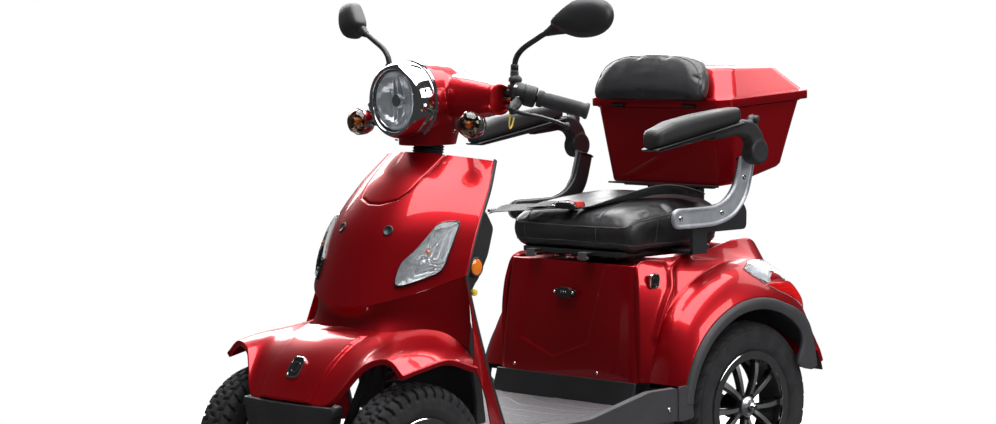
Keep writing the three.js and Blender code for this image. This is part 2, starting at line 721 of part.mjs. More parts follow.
function nacelleForm(inset) {
  const profile = [
    [0, -282 - inset], [84 - inset, -282 - inset], [86 - inset, -262], [86 - inset, -205],
    [78 - inset, -165], [56 - inset, -132 - inset], [0, -118 - inset],
  ];
  const bucket = turned(profile, V(0, 0, LAMP_Z), V(0, 1, 0), 16);
  const armEnd = [
    [-232 + inset, 944 + inset], [-168 - inset, 950 + inset],
    [-166 - inset, 1010 - inset], [-222 + inset, 1014 - inset],
  ];
  const armRoot = [
    [-262 + inset, 925 + inset], [-142 - inset, 930 + inset],
    [-140 - inset, 1030 - inset], [-240 + inset, 1036 - inset],
  ];
  const ring = (points, x) => points.map(([y, z]) => V(x, y, z));
  const arms = loft([
    ring(armEnd, -204 - inset), ring(armRoot, -60), ring(armRoot, 60), ring(armEnd, 204 + inset),
  ]);
  const level = (z, halfWidth, front, rear) => [
    V(-halfWidth + inset, front + inset, z), V(halfWidth - inset, front + inset, z),
    V(halfWidth - inset, rear - inset, z), V(-halfWidth + inset, rear - inset, z),
  ];
  const neck = loft([
    level(872 - inset, 50, -298, -176), level(915, 66, -285, -168), level(975, 70, -270, -150),
  ]);
  return join(bucket, arms, neck);
}

const bezelSpace = rod(V(0, -400, LAMP_Z), V(0, -281.6, LAMP_Z), 88.5, 20);
piece('nacelle', 'red_paint', nacelleForm(0)
  .subtract(nacelleForm(4))
  .subtract(barForm(0.6))
  .subtract(bezelSpace));

const rimProfile = [
  [70, 0], [78, 0], [80, 8], [87, 58], [83, 58], [72, 14], [70, 12], [70, 0],
];
piece('headlamp_rim', 'chrome', turned(rimProfile, V(0, -343, LAMP_Z), V(0, 1, 0), 20));
const lensProfile = [[0, -10], [30, -7], [55, -1], [69, 6], [69, 10], [55, 4], [30, -3], [0, -6], [0, -10]];
piece('headlamp_lens', 'clear_glass', turned(lensProfile, V(0, -341, LAMP_Z), V(0, 1, 0), 16));

const HORN_AXIS = V(-0.45, 0.7, 0.55).normalize();
const HORN_R = 6;

function hornPocket() {
  const start = alongGrip(-22).addScaledVector(HORN_AXIS, 16);
  return rod(start, start.clone().addScaledVector(HORN_AXIS, 30), HORN_R + FIT_GAP, 12);
}

for (const [name, side] of SIDES) {
  const bulb = new THREE.SphereGeometry(31, 10, 7);
  bulb.translate(190, -272, 924);
  const stalk = rod(V(110, -236, 921), V(172, -262, 923), 9, 10);
  const signal = solid(bulb).add(stalk).subtract(nacelleForm(-0.6));
  piece(`signal_${name}`, 'smoked_lens', onSide(signal, side));

  const gripProfile = [
    [BAR_R + FIT_GAP, 2], [19, 2], [19, 10], [16, 15], [16, 112], [18, 118], [0, 121], [0, 116],
    [BAR_R + FIT_GAP, 116], [BAR_R + FIT_GAP, 2],
  ];
  const grip = turned(gripProfile, alongGrip(0), gripAxis, 14);
  const gripName = side > 0 ? 'grip_left' : 'throttle_grip';
  piece(gripName, 'tyre_rubber', onSide(grip, side));

  const housing = join(
    rod(alongGrip(-56), alongGrip(-1), 25, 12),
    rod(alongGrip(-40), V(217, -160, 1022), 12, 10),
    rod(alongGrip(-34), V(238, -188, 973), 12, 10),
    tube(MIRROR_STEM.map((point) => V(...point)), 7, 7, 6),
  );
  const open = housing.subtract(rod(alongGrip(-120), alongGrip(40), BAR_R + FIT_GAP, 10));
  const control = side > 0 ? open.subtract(hornPocket()) : open;
  piece(`control_${name}`, 'black_plastic', onSide(control, side));

  const lever = join(
    rod(V(240, -193, 960), V(240, -189, 946), 9, 10),
    tube(LEVER_PATH.map((point) => V(...point)), 5.5, 6, 6),
    rod(V(322, -110, 921), V(330, -102, 915), 8, 10),
  );
  piece(`brake_lever_${name}`, 'black_steel', onSide(lever, side));

  const head = new THREE.SphereGeometry(1, 12, 7);
  const longAxis = V(0.9, 0.41, 0.15).normalize();
  const faceAxis = V(-0.41, 0.9, 0).normalize();
  const upAxis = longAxis.clone().cross(faceAxis).normalize();
  head.applyMatrix4(new THREE.Matrix4().makeBasis(
    longAxis.clone().multiplyScalar(74), faceAxis.clone().multiplyScalar(29), upAxis.multiplyScalar(46),
  ));
  head.translate(389, -121, 1160);
  piece(`mirror_head_${name}`, 'black_plastic', onSide(solid(head), side));
}

const hornFoot = alongGrip(-22).addScaledVector(HORN_AXIS, 19.5);
const hornTop = hornFoot.clone().addScaledVector(HORN_AXIS, 10);
piece('horn_button', 'button_red', rod(hornFoot, hornTop, HORN_R, 12));

// ---------- front suspension and steering ----------
for (const [name, side] of SIDES) {
  const pinAt = (z) => V(KINGPIN_X, FRONT_AXLE_Y, z);
  const axleZ = FRONT_WHEEL.tyreR;
  const knuckle = join(
    rod(pinAt(142), pinAt(232), KINGPIN_R, 16),
    box([150, FRONT_AXLE_Y - 14, 208.5], [196, FRONT_AXLE_Y + 14, 222]),
    box([150, FRONT_AXLE_Y - 14, 150], [196, FRONT_AXLE_Y + 14, 163.5]),
    box([184, FRONT_AXLE_Y - 14, 150], [196, FRONT_AXLE_Y + 14, 222]),
    box([158, FRONT_AXLE_Y, 140], [178, FRONT_AXLE_Y + STEERING_ARM + 10, 151]),
    rod(V(190, FRONT_AXLE_Y, axleZ), V(282, FRONT_AXLE_Y, axleZ), 9.9, 12),
  );
  piece(`knuckle_${name}`, 'cast_metal', onSide(knuckle, side));
  const shock = rod(V(150, -506, 230), V(140, -466, 405), 18, 10);
  piece(`front_shock_${name}`, 'black_steel', onSide(shock, side));
}

const rodY = FRONT_AXLE_Y + STEERING_ARM;
piece('track_rod', 'black_steel', rod(V(-180, rodY, 160), V(180, rodY, 160), 6, 10));

// ---------- the whole ----------
const group = new THREE.Group();
group.name = 'mobility_scooter';
group.add(...parts);
group.position.set(0, -BASE_CENTRE_Y, 0);

export default group;
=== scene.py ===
"""Looks of a four-wheeled mobility scooter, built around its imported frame.

Shapes are worked out in the design frame: millimetres, +Z up, the front along -Y, the rider's left
along +X, zero on the ground midway between the axles. design() turns them into the frame's metres.
"""
import math

import bpy
import numpy as np
from mathutils import Matrix, Vector
from mathutils.bvhtree import BVHTree


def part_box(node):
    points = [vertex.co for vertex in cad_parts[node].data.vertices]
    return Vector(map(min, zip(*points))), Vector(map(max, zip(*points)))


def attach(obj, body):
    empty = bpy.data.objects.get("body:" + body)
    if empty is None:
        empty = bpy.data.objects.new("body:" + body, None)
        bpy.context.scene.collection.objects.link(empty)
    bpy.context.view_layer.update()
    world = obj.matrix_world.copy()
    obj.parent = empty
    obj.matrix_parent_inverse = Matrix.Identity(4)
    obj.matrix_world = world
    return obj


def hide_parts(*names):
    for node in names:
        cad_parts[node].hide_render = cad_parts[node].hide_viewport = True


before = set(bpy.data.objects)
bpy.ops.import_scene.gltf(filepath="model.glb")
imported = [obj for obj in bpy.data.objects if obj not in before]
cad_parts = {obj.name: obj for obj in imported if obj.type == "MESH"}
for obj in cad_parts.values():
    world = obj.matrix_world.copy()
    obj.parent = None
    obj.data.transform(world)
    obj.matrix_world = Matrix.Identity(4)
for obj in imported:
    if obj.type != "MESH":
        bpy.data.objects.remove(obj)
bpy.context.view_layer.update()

BASE_CENTRE_Y = 83.5
SIDES = (("left", 1), ("right", -1))


# ---------- numbers into places ----------
def design(points):
    """Design millimetres as metres in the frame."""
    return (np.asarray(points, float) - (0.0, BASE_CENTRE_Y, 0.0)) * 0.001


def unit(a):
    """Each vector divided by its length."""
    a = np.asarray(a, float)
    return a / np.maximum(np.linalg.norm(a, axis=-1, keepdims=True), 1e-12)


def curve(points, t):
    """The centripetal Catmull-Rom curve through points, at each t in 0..1; points may be whole rows."""
    p = np.asarray(points, float)
    p = np.concatenate([2 * p[:1] - p[1:2], p, 2 * p[-1:] - p[-2:-1]])
    spans = len(p) - 3
    s = np.clip(np.atleast_1d(np.asarray(t, float)), 0, 1) * spans
    k = np.minimum(s.astype(int), spans - 1)
    w = (s - k).reshape((-1,) + (1,) * (p.ndim - 1))
    a, b, c, d = p[k], p[k + 1], p[k + 2], p[k + 3]
    root = lambda m: np.maximum(np.sqrt(np.linalg.norm(m, axis=-1, keepdims=True)), 1e-4)
    before, here, after = root(b - a), root(c - b), root(d - c)
    start = ((b - a) / before - (c - a) / (before + here) + (c - b) / here) * here
    end = ((c - b) / here - (d - b) / (here + after) + (d - c) / after) * here
    return b + start * w + (3 * (c - b) - 2 * start - end) * w ** 2 + (2 * (b - c) + start + end) * w ** 3


def line(points, t):
    """Straight runs between points, at each t in 0..1 of the length."""
    p = np.asarray(points, float)
    at = np.concatenate([[0], np.cumsum(np.linalg.norm(np.diff(p, axis=0), axis=1))])
    return np.stack([np.interp(np.asarray(t) * at[-1], at, p[:, k]) for k in range(p.shape[1])], -1)


def smooth(x, low, high):
    """0 below low, 1 above high, and an S-shaped step between them."""
    s = np.clip((np.asarray(x, float) - low) / (high - low), 0, 1)
    return s * s * (3 - 2 * s)


def steps(count, low=0.0, high=1.0):
    """Evenly spaced numbers from low to high, both ends included."""
    return np.linspace(low, high, count)


# ---------- forms ----------
class Form:
    """Points in millimetres, faces, and the finish number of each face."""

    def __init__(self, points, faces, finish=0):
        self.points = np.asarray(points, float).reshape(-1, 3)
        self.faces = [tuple(f) for f in faces]
        self.finish = [finish] * len(self.faces)

    def __add__(self, other):
        """Both forms in one, the faces of the second renumbered."""
        whole = Form(np.concatenate([self.points, other.points]), [])
        shift = len(self.points)
        whole.faces = self.faces + [tuple(i + shift for i in f) for f in other.faces]
        whole.finish = self.finish + other.finish
        return whole

    def flipped(self):
        """Turns every face round."""
        self.faces = [f[::-1] for f in self.faces]
        return self

    def outward(self):
        """Turns a closed form's faces outwards, by the sign of the volume that its fans enclose."""
        volume = 0.0
        for size in {len(f) for f in self.faces}:
            corners = self.points[np.array([f for f in self.faces if len(f) == size])]
            for k in range(1, size - 1):
                cross = np.cross(corners[:, k], corners[:, k + 1])
                volume += (corners[:, 0] * cross).sum()
        return self.flipped() if volume < 0 else self

    def on(self, side):
        """The form itself on the left, its mirror image on the right."""
        if side > 0:
            return self
        other = Form(self.points * (-1, 1, 1), [])
        other.faces = [f[::-1] for f in self.faces]
        other.finish = list(self.finish)
        return other

    def moved(self, offset):
        """A copy shifted by the offset."""
        other = Form(self.points + np.asarray(offset, float), [])
        other.faces, other.finish = list(self.faces), list(self.finish)
        return other


def both(form):
    """A form together with its mirror image in the middle plane."""
    return form + form.on(-1)


def all_of(forms):
    """Several forms joined into one."""
    forms = list(forms)
    whole = forms[0]
    for form in forms[1:]:
        whole = whole + form
    return whole


def grid(p, wrap_a=False, wrap_b=False, ends=False, finish=0):
    """Faces over the surface p[a, b]; wrapped directions close on themselves, ends are capped."""
    a, b = p.shape[:2]
    i, j = np.meshgrid(np.arange(a if wrap_a else a - 1), np.arange(b if wrap_b else b - 1), indexing="ij")
    i2, j2 = (i + 1) % a, (j + 1) % b
    faces = np.stack([i * b + j, i2 * b + j, i2 * b + j2, i * b + j2], -1).reshape(-1, 4).tolist()
    if ends:
        faces.append(tuple(range(b - 1, -1, -1))[::-1])
        faces.append(tuple((a - 1) * b + k for k in range(b - 1, -1, -1)))
    form = Form(p, faces, finish)
    return form.outward() if ends or (wrap_a and wrap_b) else form


def normals(p):
    """The unit normal du x dv at each point of the surface."""
    return unit(np.cross(np.gradient(p, axis=0), np.gradient(p, axis=1)))


def rolled(p, radius, depth, edges="uUvV", arc=4):
    """Rolls the named borders inwards: a quarter circle of the radius, then a flange of the depth."""
    for edge in edges:
        q = p if edge in "uU" else p.swapaxes(0, 1)
        n = normals(p) if edge in "uU" else normals(p).swapaxes(0, 1)
        q, n = (q, n) if edge in "UV" else (q[::-1], n[::-1])
        out = unit(q[-1] - q[-2])
        rows = [q]
        for angle in steps(arc + 1, 0, math.pi / 2)[1:]:
            rows.append((q[-1] + radius * (math.sin(angle) * out - (1 - math.cos(angle)) * n[-1]))[None])
        if depth:
            rows.append(rows[-1] - depth * n[-1])
        q = np.concatenate(rows)
        q = q if edge in "UV" else q[::-1]
        p = q if edge in "uU" else q.swapaxes(0, 1)
    return p


def shell(p, thickness=2.5, finish=0):
    """A closed wall: the surface, the same surface set back by the thickness, and the border between."""
    a, b = p.shape[:2]
    inner = p - normals(p) * thickness
    both_sides = np.concatenate([p.reshape(-1, 3), inner.reshape(-1, 3)])
    outer_faces = grid(p).faces
    shift = a * b
    inner_faces = [tuple(k + shift for k in f[::-1]) for f in outer_faces]
    rim = list(range(0, b)) + [i * b + b - 1 for i in range(1, a)]
    rim += [(a - 1) * b + j for j in range(b - 2, -1, -1)] + [i * b for i in range(a - 2, 0, -1)]
    border = [(rim[k], rim[(k + 1) % len(rim)], rim[(k + 1) % len(rim)] + shift, rim[k] + shift)
        for k in range(len(rim))]
    return Form(both_sides, outer_faces + inner_faces + border, finish)


def circle(radius, count):
    """Outline of a circle: the radius times the cosine and sine of equal angles."""
    angle = np.arange(count) * 2 * math.pi / count
    return radius * np.stack([np.cos(angle), np.sin(angle)], -1)


def oval(a, b, power, count):
    """A closed outline between an ellipse (power 2) and a rectangle (high power)."""
    angle = np.arange(count) * 2 * math.pi / count
    c, s = np.cos(angle), np.sin(angle)
    r = (np.abs(c) ** power + np.abs(s) ** power) ** (-1 / power)
    return np.stack([a * r * c, b * r * s], -1)


def round_corners(outline, radius, arc=4):
    """An outline whose corners are cut back by up to the radius and bridged with a quadratic curve."""
    p = np.asarray(outline, float)
    before, after = np.roll(p, 1, 0) - p, np.roll(p, -1, 0) - p
    reach_in = np.minimum(radius, 0.45 * np.linalg.norm(before, axis=1))[:, None]
    reach_out = np.minimum(radius, 0.45 * np.linalg.norm(after, axis=1))[:, None]
    start, end = p + unit(before) * reach_in, p + unit(after) * reach_out
    t = steps(arc + 1)[None, :, None]
    bridge = start[:, None] * (1 - t) ** 2 + 2 * p[:, None] * t * (1 - t) + end[:, None] * t ** 2
    return bridge.reshape(-1, p.shape[1])


AXES = {"x": ((0, 1, 0), (0, 0, 1), (1, 0, 0)), "y": ((1, 0, 0), (0, 0, 1), (0, 1, 0)),
    "z": ((1, 0, 0), (0, 1, 0), (0, 0, 1))}


def prism(axis, outline, low, high, finish=0):
    """An outline pushed straight along one axis: (y, z) along x, (x, z) along y, (x, y) along z."""
    right, up, ahead = (np.array(v, float) for v in AXES[axis])
    flat = np.asarray(outline, float)
    base = flat[:, :1] * right + flat[:, 1:] * up
    return grid(np.stack([base + low * ahead, base + high * ahead]), wrap_b=True, ends=True, finish=finish)


def block(low, high, finish=0):
    """A box between two corners: a (y, z) rectangle carried along x."""
    (x0, y0, z0), (x1, y1, z1) = low, high
    return prism("x", [(y0, z0), (y1, z0), (y1, z1), (y0, z1)], x0, x1, finish)


def frame_on(axis):
    """Two directions at right angles to the axis."""
    axis = unit(axis)
    helper = np.array((0, 0, 1.0)) if abs(axis[2]) < 0.9 else np.array((0, 1.0, 0))
    side = unit(np.cross(axis, helper))
    return side, np.cross(axis, side)


def turned(profile, start, axis, segments=32, closed=False, finish=0):
    """A (radius, height) profile turned about the line through start along the axis."""
    profile = np.asarray(profile, float)
    side, up = frame_on(axis)
    ring = circle(1, segments)
    spoke = ring[:, :1] * side + ring[:, 1:] * up
    p = np.asarray(start, float) + profile[:, None, :1] * spoke + profile[:, None, 1:] * unit(axis)
    return grid(p, wrap_a=closed, wrap_b=True, ends=not closed, finish=finish)


def rod(start, end, radius, segments=16, finish=0):
    """A straight bar between two points, its ends eased by a fifth of the radius, at most 1 mm."""
    start, end = np.asarray(start, float), np.asarray(end, float)
    length = np.linalg.norm(end - start)
    edge = min(1.0, radius * 0.2)
    profile = [(radius - edge, 0), (radius, edge), (radius, length - edge), (radius - edge, length)]
    return turned(profile, start, end - start, segments, finish=finish)


def sweep(path, section, up=(0, 0, 1), scale=None, wrap=False, finish=0):
    """A closed section carried along a path; the section's second axis stays nearest to up."""
    path = np.asarray(path, float)
    section = np.asarray(section, float)
    ahead = unit(np.roll(path, -1, 0) - np.roll(path, 1, 0)) if wrap else unit(np.gradient(path, axis=0))
    side = unit(np.cross(ahead, up))
    rise = np.cross(side, ahead)
    size = np.ones((len(path), 2)) if scale is None else np.broadcast_to(
        np.asarray(scale, float).reshape(len(path), -1), (len(path), 2))
    p = (path[:, None] + section[None, :, :1] * size[:, None, :1] * side[:, None]
        + section[None, :, 1:] * size[:, None, 1:] * rise[:, None])
    return grid(p, wrap_a=wrap, wrap_b=True, ends=not wrap, finish=finish)


def pipe(points, radius, count=40, sides=14, up=(0, 0, 1), finish=0):
    """A circle carried along the smooth curve through the points."""
    return sweep(curve(points, steps(count)), circle(radius, sides), up, finish=finish)


def loft(rings, finish=0):
    """Closed rings of equal count joined in order, capped at both ends."""
    return grid(np.stack([np.asarray(r, float) for r in rings]), wrap_b=True, ends=True, finish=finish)


def ribbon(rings, finish=0):
    """Closed rings joined in order; each end is closed by faces between the ring's two long sides."""
    form = grid(np.stack([np.asarray(r, float) for r in rings]), wrap_b=True, finish=finish)
    size = len(rings[0])
    half = size // 2
    cap = [(i, i + 1, size - 2 - i, size - 1 - i) for i in range(half - 1)]
    if size % 2:
        cap.append((half - 1, half, half + 1))
    shift = (len(rings) - 1) * size
    form.faces += cap + [tuple(i + shift for i in f[::-1]) for f in cap]
    form.finish += [finish] * (2 * len(cap))
    return form.outward()


def ball(centre, radii, count=24, finish=0):
    """An ellipsoid: radius follows the sine and height the cosine of the angle from its pole."""
    a = steps(count // 2 + 1, 0.02, math.pi - 0.02)
    ring = circle(1, count)
    p = np.stack([np.sin(a)[:, None] * ring[:, 0], np.sin(a)[:, None] * ring[:, 1],
        np.cos(a)[:, None] * np.ones(count)], -1)
    return grid(p * np.asarray(radii, float) + np.asarray(centre, float), wrap_b=True, ends=True, finish=finish)


def screw(place, direction, radius=5, finish=0):
    """A domed screw head with a socket."""
    direction = unit(direction)
    profile = [(radius, 0), (radius, 1.2), (radius * 0.8, 2.6), (radius * 0.45, 3.1), (radius * 0.42, 1.6)]
    return turned(profile, place, direction, 16, finish=finish)


def piece(name, form, finishes, body, replaces=(), bevel=0.0, sharp=35, subdivide=0):
    """Puts a form into the scene as a finished piece that rides on its body."""
    mesh = bpy.data.meshes.new(name)
    mesh.from_pydata(design(form.points).tolist(), [], form.faces)
    for finish in finishes if isinstance(finishes, (list, tuple)) else [finishes]:
        mesh.materials.append(finish)
    mesh.polygons.foreach_set("material_index", form.finish)
    mesh.validate()
    mesh.shade_smooth()
    mesh.set_sharp_from_angle(angle=math.radians(sharp))
    mesh.update()
    thing = bpy.data.objects.new(name, mesh)
    bpy.context.scene.collection.objects.link(thing)
    if bevel:
        rounding = thing.modifiers.new("edges", "BEVEL")
        rounding.width = bevel * 0.001
        rounding.segments = 2
        rounding.limit_method = "ANGLE"
        rounding.angle_limit = math.radians(sharp)
        rounding.harden_normals = True
    if subdivide:
        fine = thing.modifiers.new("fine", "SUBSURF")
        fine.levels = subdivide
        fine.render_levels = subdivide
    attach(thing, body)
    if replaces:
        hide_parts(*replaces)
    return thing


# ---------- finishes ----------
class Finish:
    """A node material built up step by step: shader, noise, ramps and bumps on Object coordinates."""

    def __init__(self, name, colour, roughness, metallic=0.0, **sockets):
        self.material = bpy.data.materials.new(name)
        self.material.use_nodes = True
        self.tree = self.material.node_tree
        self.shader = self.tree.nodes["Principled BSDF"]
        self.shader.inputs["Base Color"].default_value = (*colour, 1)
        self.shader.inputs["Roughness"].default_value = roughness
        self.shader.inputs["Metallic"].default_value = metallic
        for socket, value in sockets.items():
            self.shader.inputs[socket.replace("_", " ")].default_value = value
        self.colour = colour
        self.height = None

    def node(self, kind, **settings):
        """A new node; each setting goes to its socket, or else to the node."""
        made = self.tree.nodes.new(kind)
        for key, value in settings.items():
            if key in made.inputs:
                made.inputs[key].default_value = value
            else:
                setattr(made, key, value)
        return made

    def link(self, start, end):
        """Joins two sockets."""
        self.tree.links.new(start, end)

    def place(self, source="Object", scale=(1, 1, 1), turn=(0, 0, 0)):
        """Object or UV coordinates, scaled and turned."""
        where = self.node("ShaderNodeTexCoord")
        mapping = self.node("ShaderNodeMapping")
        mapping.inputs["Scale"].default_value = scale
        mapping.inputs["Rotation"].default_value = turn
        self.link(where.outputs[source], mapping.inputs["Vector"])
        return mapping.outputs["Vector"]

    def noise(self, scale, detail=4.0, stretch=(1, 1, 1)):
        """Cloudy noise on Object coordinates."""
        made = self.node("ShaderNodeTexNoise")
        made.inputs["Scale"].default_value = scale
        made.inputs["Detail"].default_value = detail
        self.link(self.place(scale=stretch), made.inputs["Vector"])
        return made.outputs["Fac"]

    def cells(self, scale, feature="DISTANCE_TO_EDGE"):
        """Cells on Object coordinates: the distance to their edges."""
        made = self.node("ShaderNodeTexVoronoi", feature=feature)
        made.inputs["Scale"].default_value = scale
        self.link(self.place(), made.inputs["Vector"])
        return made.outputs["Distance"]

    def ramp(self, factor, low, high, start=0.35, end=0.65):
        """Colour from low to high as the factor goes from start to end."""
        made = self.node("ShaderNodeValToRGB")
        made.color_ramp.elements[0].position = start
        made.color_ramp.elements[1].position = end
        made.color_ramp.elements[0].color = (*low, 1)
        made.color_ramp.elements[1].color = (*high, 1)
        self.link(factor, made.inputs["Fac"])
        return made.outputs["Color"]

    def vary_colour(self, factor, spread=0.2, start=0.35, end=0.65):
        """Spreads the colour either side of its base by the factor."""
        low = tuple(c * (1 - spread) for c in self.colour)
        high = tuple(min(1, c * (1 + spread)) for c in self.colour)
        self.link(self.ramp(factor, low, high, start, end), self.shader.inputs["Base Color"])
        return self

    def vary_roughness(self, factor, low, high):
        """Roughness from low to high as the factor goes from 0.3 to 0.7."""
        made = self.node("ShaderNodeMapRange")
        made.inputs["From Min"].default_value = 0.3
        made.inputs["From Max"].default_value = 0.7
        made.inputs["To Min"].default_value = low
        made.inputs["To Max"].default_value = high
        self.link(factor, made.inputs["Value"])
        self.link(made.outputs["Result"], self.shader.inputs["Roughness"])
        return self

    def bump(self, factor, strength, distance):
        """Adds a bump on top of the bumps already there."""
        made = self.node("ShaderNodeBump")
        made.inputs["Strength"].default_value = strength
        made.inputs["Distance"].default_value = distance
        self.link(factor, made.inputs["Height"])
        if self.height is not None:
            self.link(self.height, made.inputs["Normal"])
        self.height = made.outputs["Normal"]
        self.link(self.height, self.shader.inputs["Normal"])
        return self


def painted_red():
    """Candy red lacquer: a bright metal-flake base under a deep clear coat with a faint ripple."""
    f = Finish("candy_red", (0.42, 0.0012, 0.007), 0.36, 0.75, Coat_Weight=0.6, Coat_Roughness=0.025, Coat_IOR=1.5)
    f.vary_colour(f.noise(1800, 2), 0.14)
    f.vary_roughness(f.noise(6, 3), 0.32, 0.38)
    return f.bump(f.noise(900, 1), 0.02, 0.0002).material


def moulded(name, colour, roughness, grain=1400, depth=0.22, **sockets):
    """Moulded plastic: a fine spark-eroded grain, slow variation in gloss and faint dust in the colour."""
    f = Finish(name, colour, roughness, **sockets)
    f.vary_colour(f.noise(9, 5), 0.1)
    f.vary_roughness(f.noise(14, 4), roughness - 0.06, roughness + 0.06)
    return f.bump(f.noise(grain, 3), depth, 0.0003).material


def steel(name, colour, roughness, metallic=0.6, coat=0.0):
    """Powder-coated or bare steel with orange-peel and slight wear."""
    f = Finish(name, colour, roughness, metallic, Coat_Weight=coat)
    f.vary_colour(f.noise(40, 5), 0.15)
    f.vary_roughness(f.noise(25, 4), roughness - 0.05, roughness + 0.08)
    return f.bump(f.noise(420, 2), 0.12, 0.0004).material


def bright(name, colour, roughness, turning=0.0):
    """Polished or machined metal; turning adds fine lathe marks round X."""
    f = Finish(name, colour, roughness, 1.0)
    f.vary_roughness(f.noise(60, 4), roughness, roughness + 0.06)
    f.vary_colour(f.noise(30, 3), 0.05)
    if turning:
        f.bump(f.noise(500, 2, (0.02, 1, 1)), turning, 0.0002)
    return f.material


def rubber_finish(name, colour, roughness=0.78):
    """Rubber: cloudy colour and roughness, and a fine grain as bump."""
    f = Finish(name, colour, roughness, Specular_IOR_Level=0.35)
    f.vary_colour(f.noise(30, 6), 0.22)
    f.vary_roughness(f.noise(50, 4), roughness - 0.1, roughness + 0.08)
    return f.bump(f.noise(700, 4), 0.3, 0.0004).material


def leather_finish(name, colour, roughness):
    """Coated upholstery: pebbled grain between fine creases, with broad soft wrinkles."""
    f = Finish(name, colour, roughness, Specular_IOR_Level=0.55)
    f.vary_colour(f.noise(18, 5), 0.18)
    f.vary_roughness(f.noise(30, 4), roughness - 0.07, roughness + 0.08)
    f.bump(f.cells(520), 0.35, 0.0004)
    f.bump(f.noise(26, 5), 0.16, 0.003)
    return f.bump(f.noise(1500, 2), 0.1, 0.0002).material


def webbing_finish():
    """Woven strap: crossed ribs along and across the band, from the piece's own UV map."""
    f = Finish("webbing", (0.035, 0.036, 0.04), 0.62, Sheen_Weight=0.35, Sheen_Roughness=0.4)
    along = f.node("ShaderNodeTexWave", bands_direction="X")
    along.inputs["Scale"].default_value = 3.2
    across = f.node("ShaderNodeTexWave", bands_direction="Y")
    across.inputs["Scale"].default_value = 95.0
    where = f.place("UV")
    f.link(where, along.inputs["Vector"])
    f.link(where, across.inputs["Vector"])
    weave = f.node("ShaderNodeMath", operation="MULTIPLY")
    f.link(along.outputs["Fac"], weave.inputs[0])
    f.link(across.outputs["Fac"], weave.inputs[1])
    f.vary_colour(weave.outputs[0], 0.35, 0.1, 0.9)
    return f.bump(weave.outputs[0], 0.6, 0.0006).material


def glass(name, colour, roughness=0.02, transmission=1.0):
    """Glass: a transmitting shader with faint waves as bump."""
    f = Finish(name, colour, roughness, Transmission_Weight=transmission, IOR=1.45)
    f.vary_roughness(f.noise(40, 3), roughness, roughness + 0.03)
    return f.bump(f.noise(120, 2), 0.03, 0.0004).material


def mat_finish():
    """Footboard mat: grey rubber with a fine grid of raised pips."""
    f = Finish("footboard_mat", (0.075, 0.072, 0.078), 0.62)
    pips = f.cells(190, "F1")
    f.vary_colour(pips, 0.3, 0.2, 0.7)
    f.bump(pips, 0.5, 0.001)
    return f.bump(f.noise(600, 3), 0.2, 0.0003).material


RED = painted_red()
BLACK = moulded("black_moulding", (0.017, 0.0172, 0.019), 0.42)
GLOSS_BLACK = moulded("gloss_black", (0.010, 0.010, 0.011), 0.14, grain=500, depth=0.03, Coat_Weight=0.6)
GREY = moulded("charcoal_moulding", (0.036, 0.0355, 0.039), 0.46)
FLOOR_GREY = moulded("footboard_grey", (0.10, 0.098, 0.106), 0.45)
DARK_STEEL = steel("black_steel", (0.02, 0.021, 0.023), 0.38, 0.3, 0.3)
SILVER = steel("silver_paint", (0.40, 0.42, 0.45), 0.42, 0.6, 0.3)
CAST = steel("cast_metal", (0.28, 0.285, 0.29), 0.5, 0.9)
CHROME = bright("chrome", (0.86, 0.87, 0.89), 0.04)
MACHINED = bright("machined_alloy", (0.92, 0.93, 0.95), 0.3, 0.15)
BRASS = bright("brass", (0.62, 0.43, 0.18), 0.25)
TYRE = rubber_finish("tyre_rubber", (0.017, 0.017, 0.019))
GRIP = rubber_finish("grip_rubber", (0.030, 0.030, 0.033), 0.55)
LEATHER = leather_finish("seat_leather", (0.019, 0.0185, 0.0205), 0.36)
WEBBING = webbing_finish()
CLEAR = glass("clear_lens", (0.96, 0.97, 0.98))
SMOKED = glass("smoked_lens", (0.62, 0.52, 0.44))
RED_LENS = glass("red_lens", (0.75, 0.01, 0.012), 0.05, 0.45)
AMBER = moulded("amber", (0.85, 0.20, 0.02), 0.25, Coat_Weight=0.7)
ORANGE = moulded("orange_reflector", (0.80, 0.20, 0.015), 0.2, grain=260, depth=0.5, Coat_Weight=1.0)
YELLOW = moulded("yellow_plug", (0.75, 0.52, 0.03), 0.4)
BUTTON = moulded("red_button", (0.55, 0.03, 0.02), 0.35)
MAT = mat_finish()
THREAD = rubber_finish("seam_thread", (0.05, 0.05, 0.054), 0.6)
PAD = moulded("armrest_foam", (0.011, 0.0112, 0.0122), 0.5, grain=900, depth=0.4)
REFLECTOR = steel("lamp_reflector", (0.82, 0.85, 0.90), 0.2, 0.4, 0.7)
MIRROR = bright("mirror_glass", (0.80, 0.83, 0.86), 0.03)
LEVER = steel("lever_enamel", (0.03, 0.031, 0.033), 0.35, 0.4, 0.4)


# ---------- camera, floor and light ----------
def set_camera():
    """Stands in front of the left side, a little above the handlebar, looking slightly down."""
    azimuth, down, roll = math.radians(46.264), math.radians(5.783), 0.01097
    back = np.array([math.sin(azimuth) * math.cos(down), -math.cos(azimuth) * math.cos(down), math.sin(down)])
    level = np.array([math.cos(azimuth), math.sin(azimuth), 0])
    rise = np.cross(back, level)
    right = level * math.cos(roll) - rise * math.sin(roll)
    up = rise * math.cos(roll) + level * math.sin(roll)
    data = bpy.data.cameras.new("camera")
    data.sensor_width = 36
    data.lens = 94.65
    data.shift_y = 0.0783
    data.clip_end = 200
    camera = bpy.data.objects.new("camera", data)
    bpy.context.scene.collection.objects.link(camera)
    turn = Matrix([[*row] for row in np.stack([right, up, back], 1)]).to_4x4()
    camera.matrix_world = Matrix.Translation(design((4484, -4305, 1147)).tolist()) @ turn
    bpy.context.scene.camera = camera


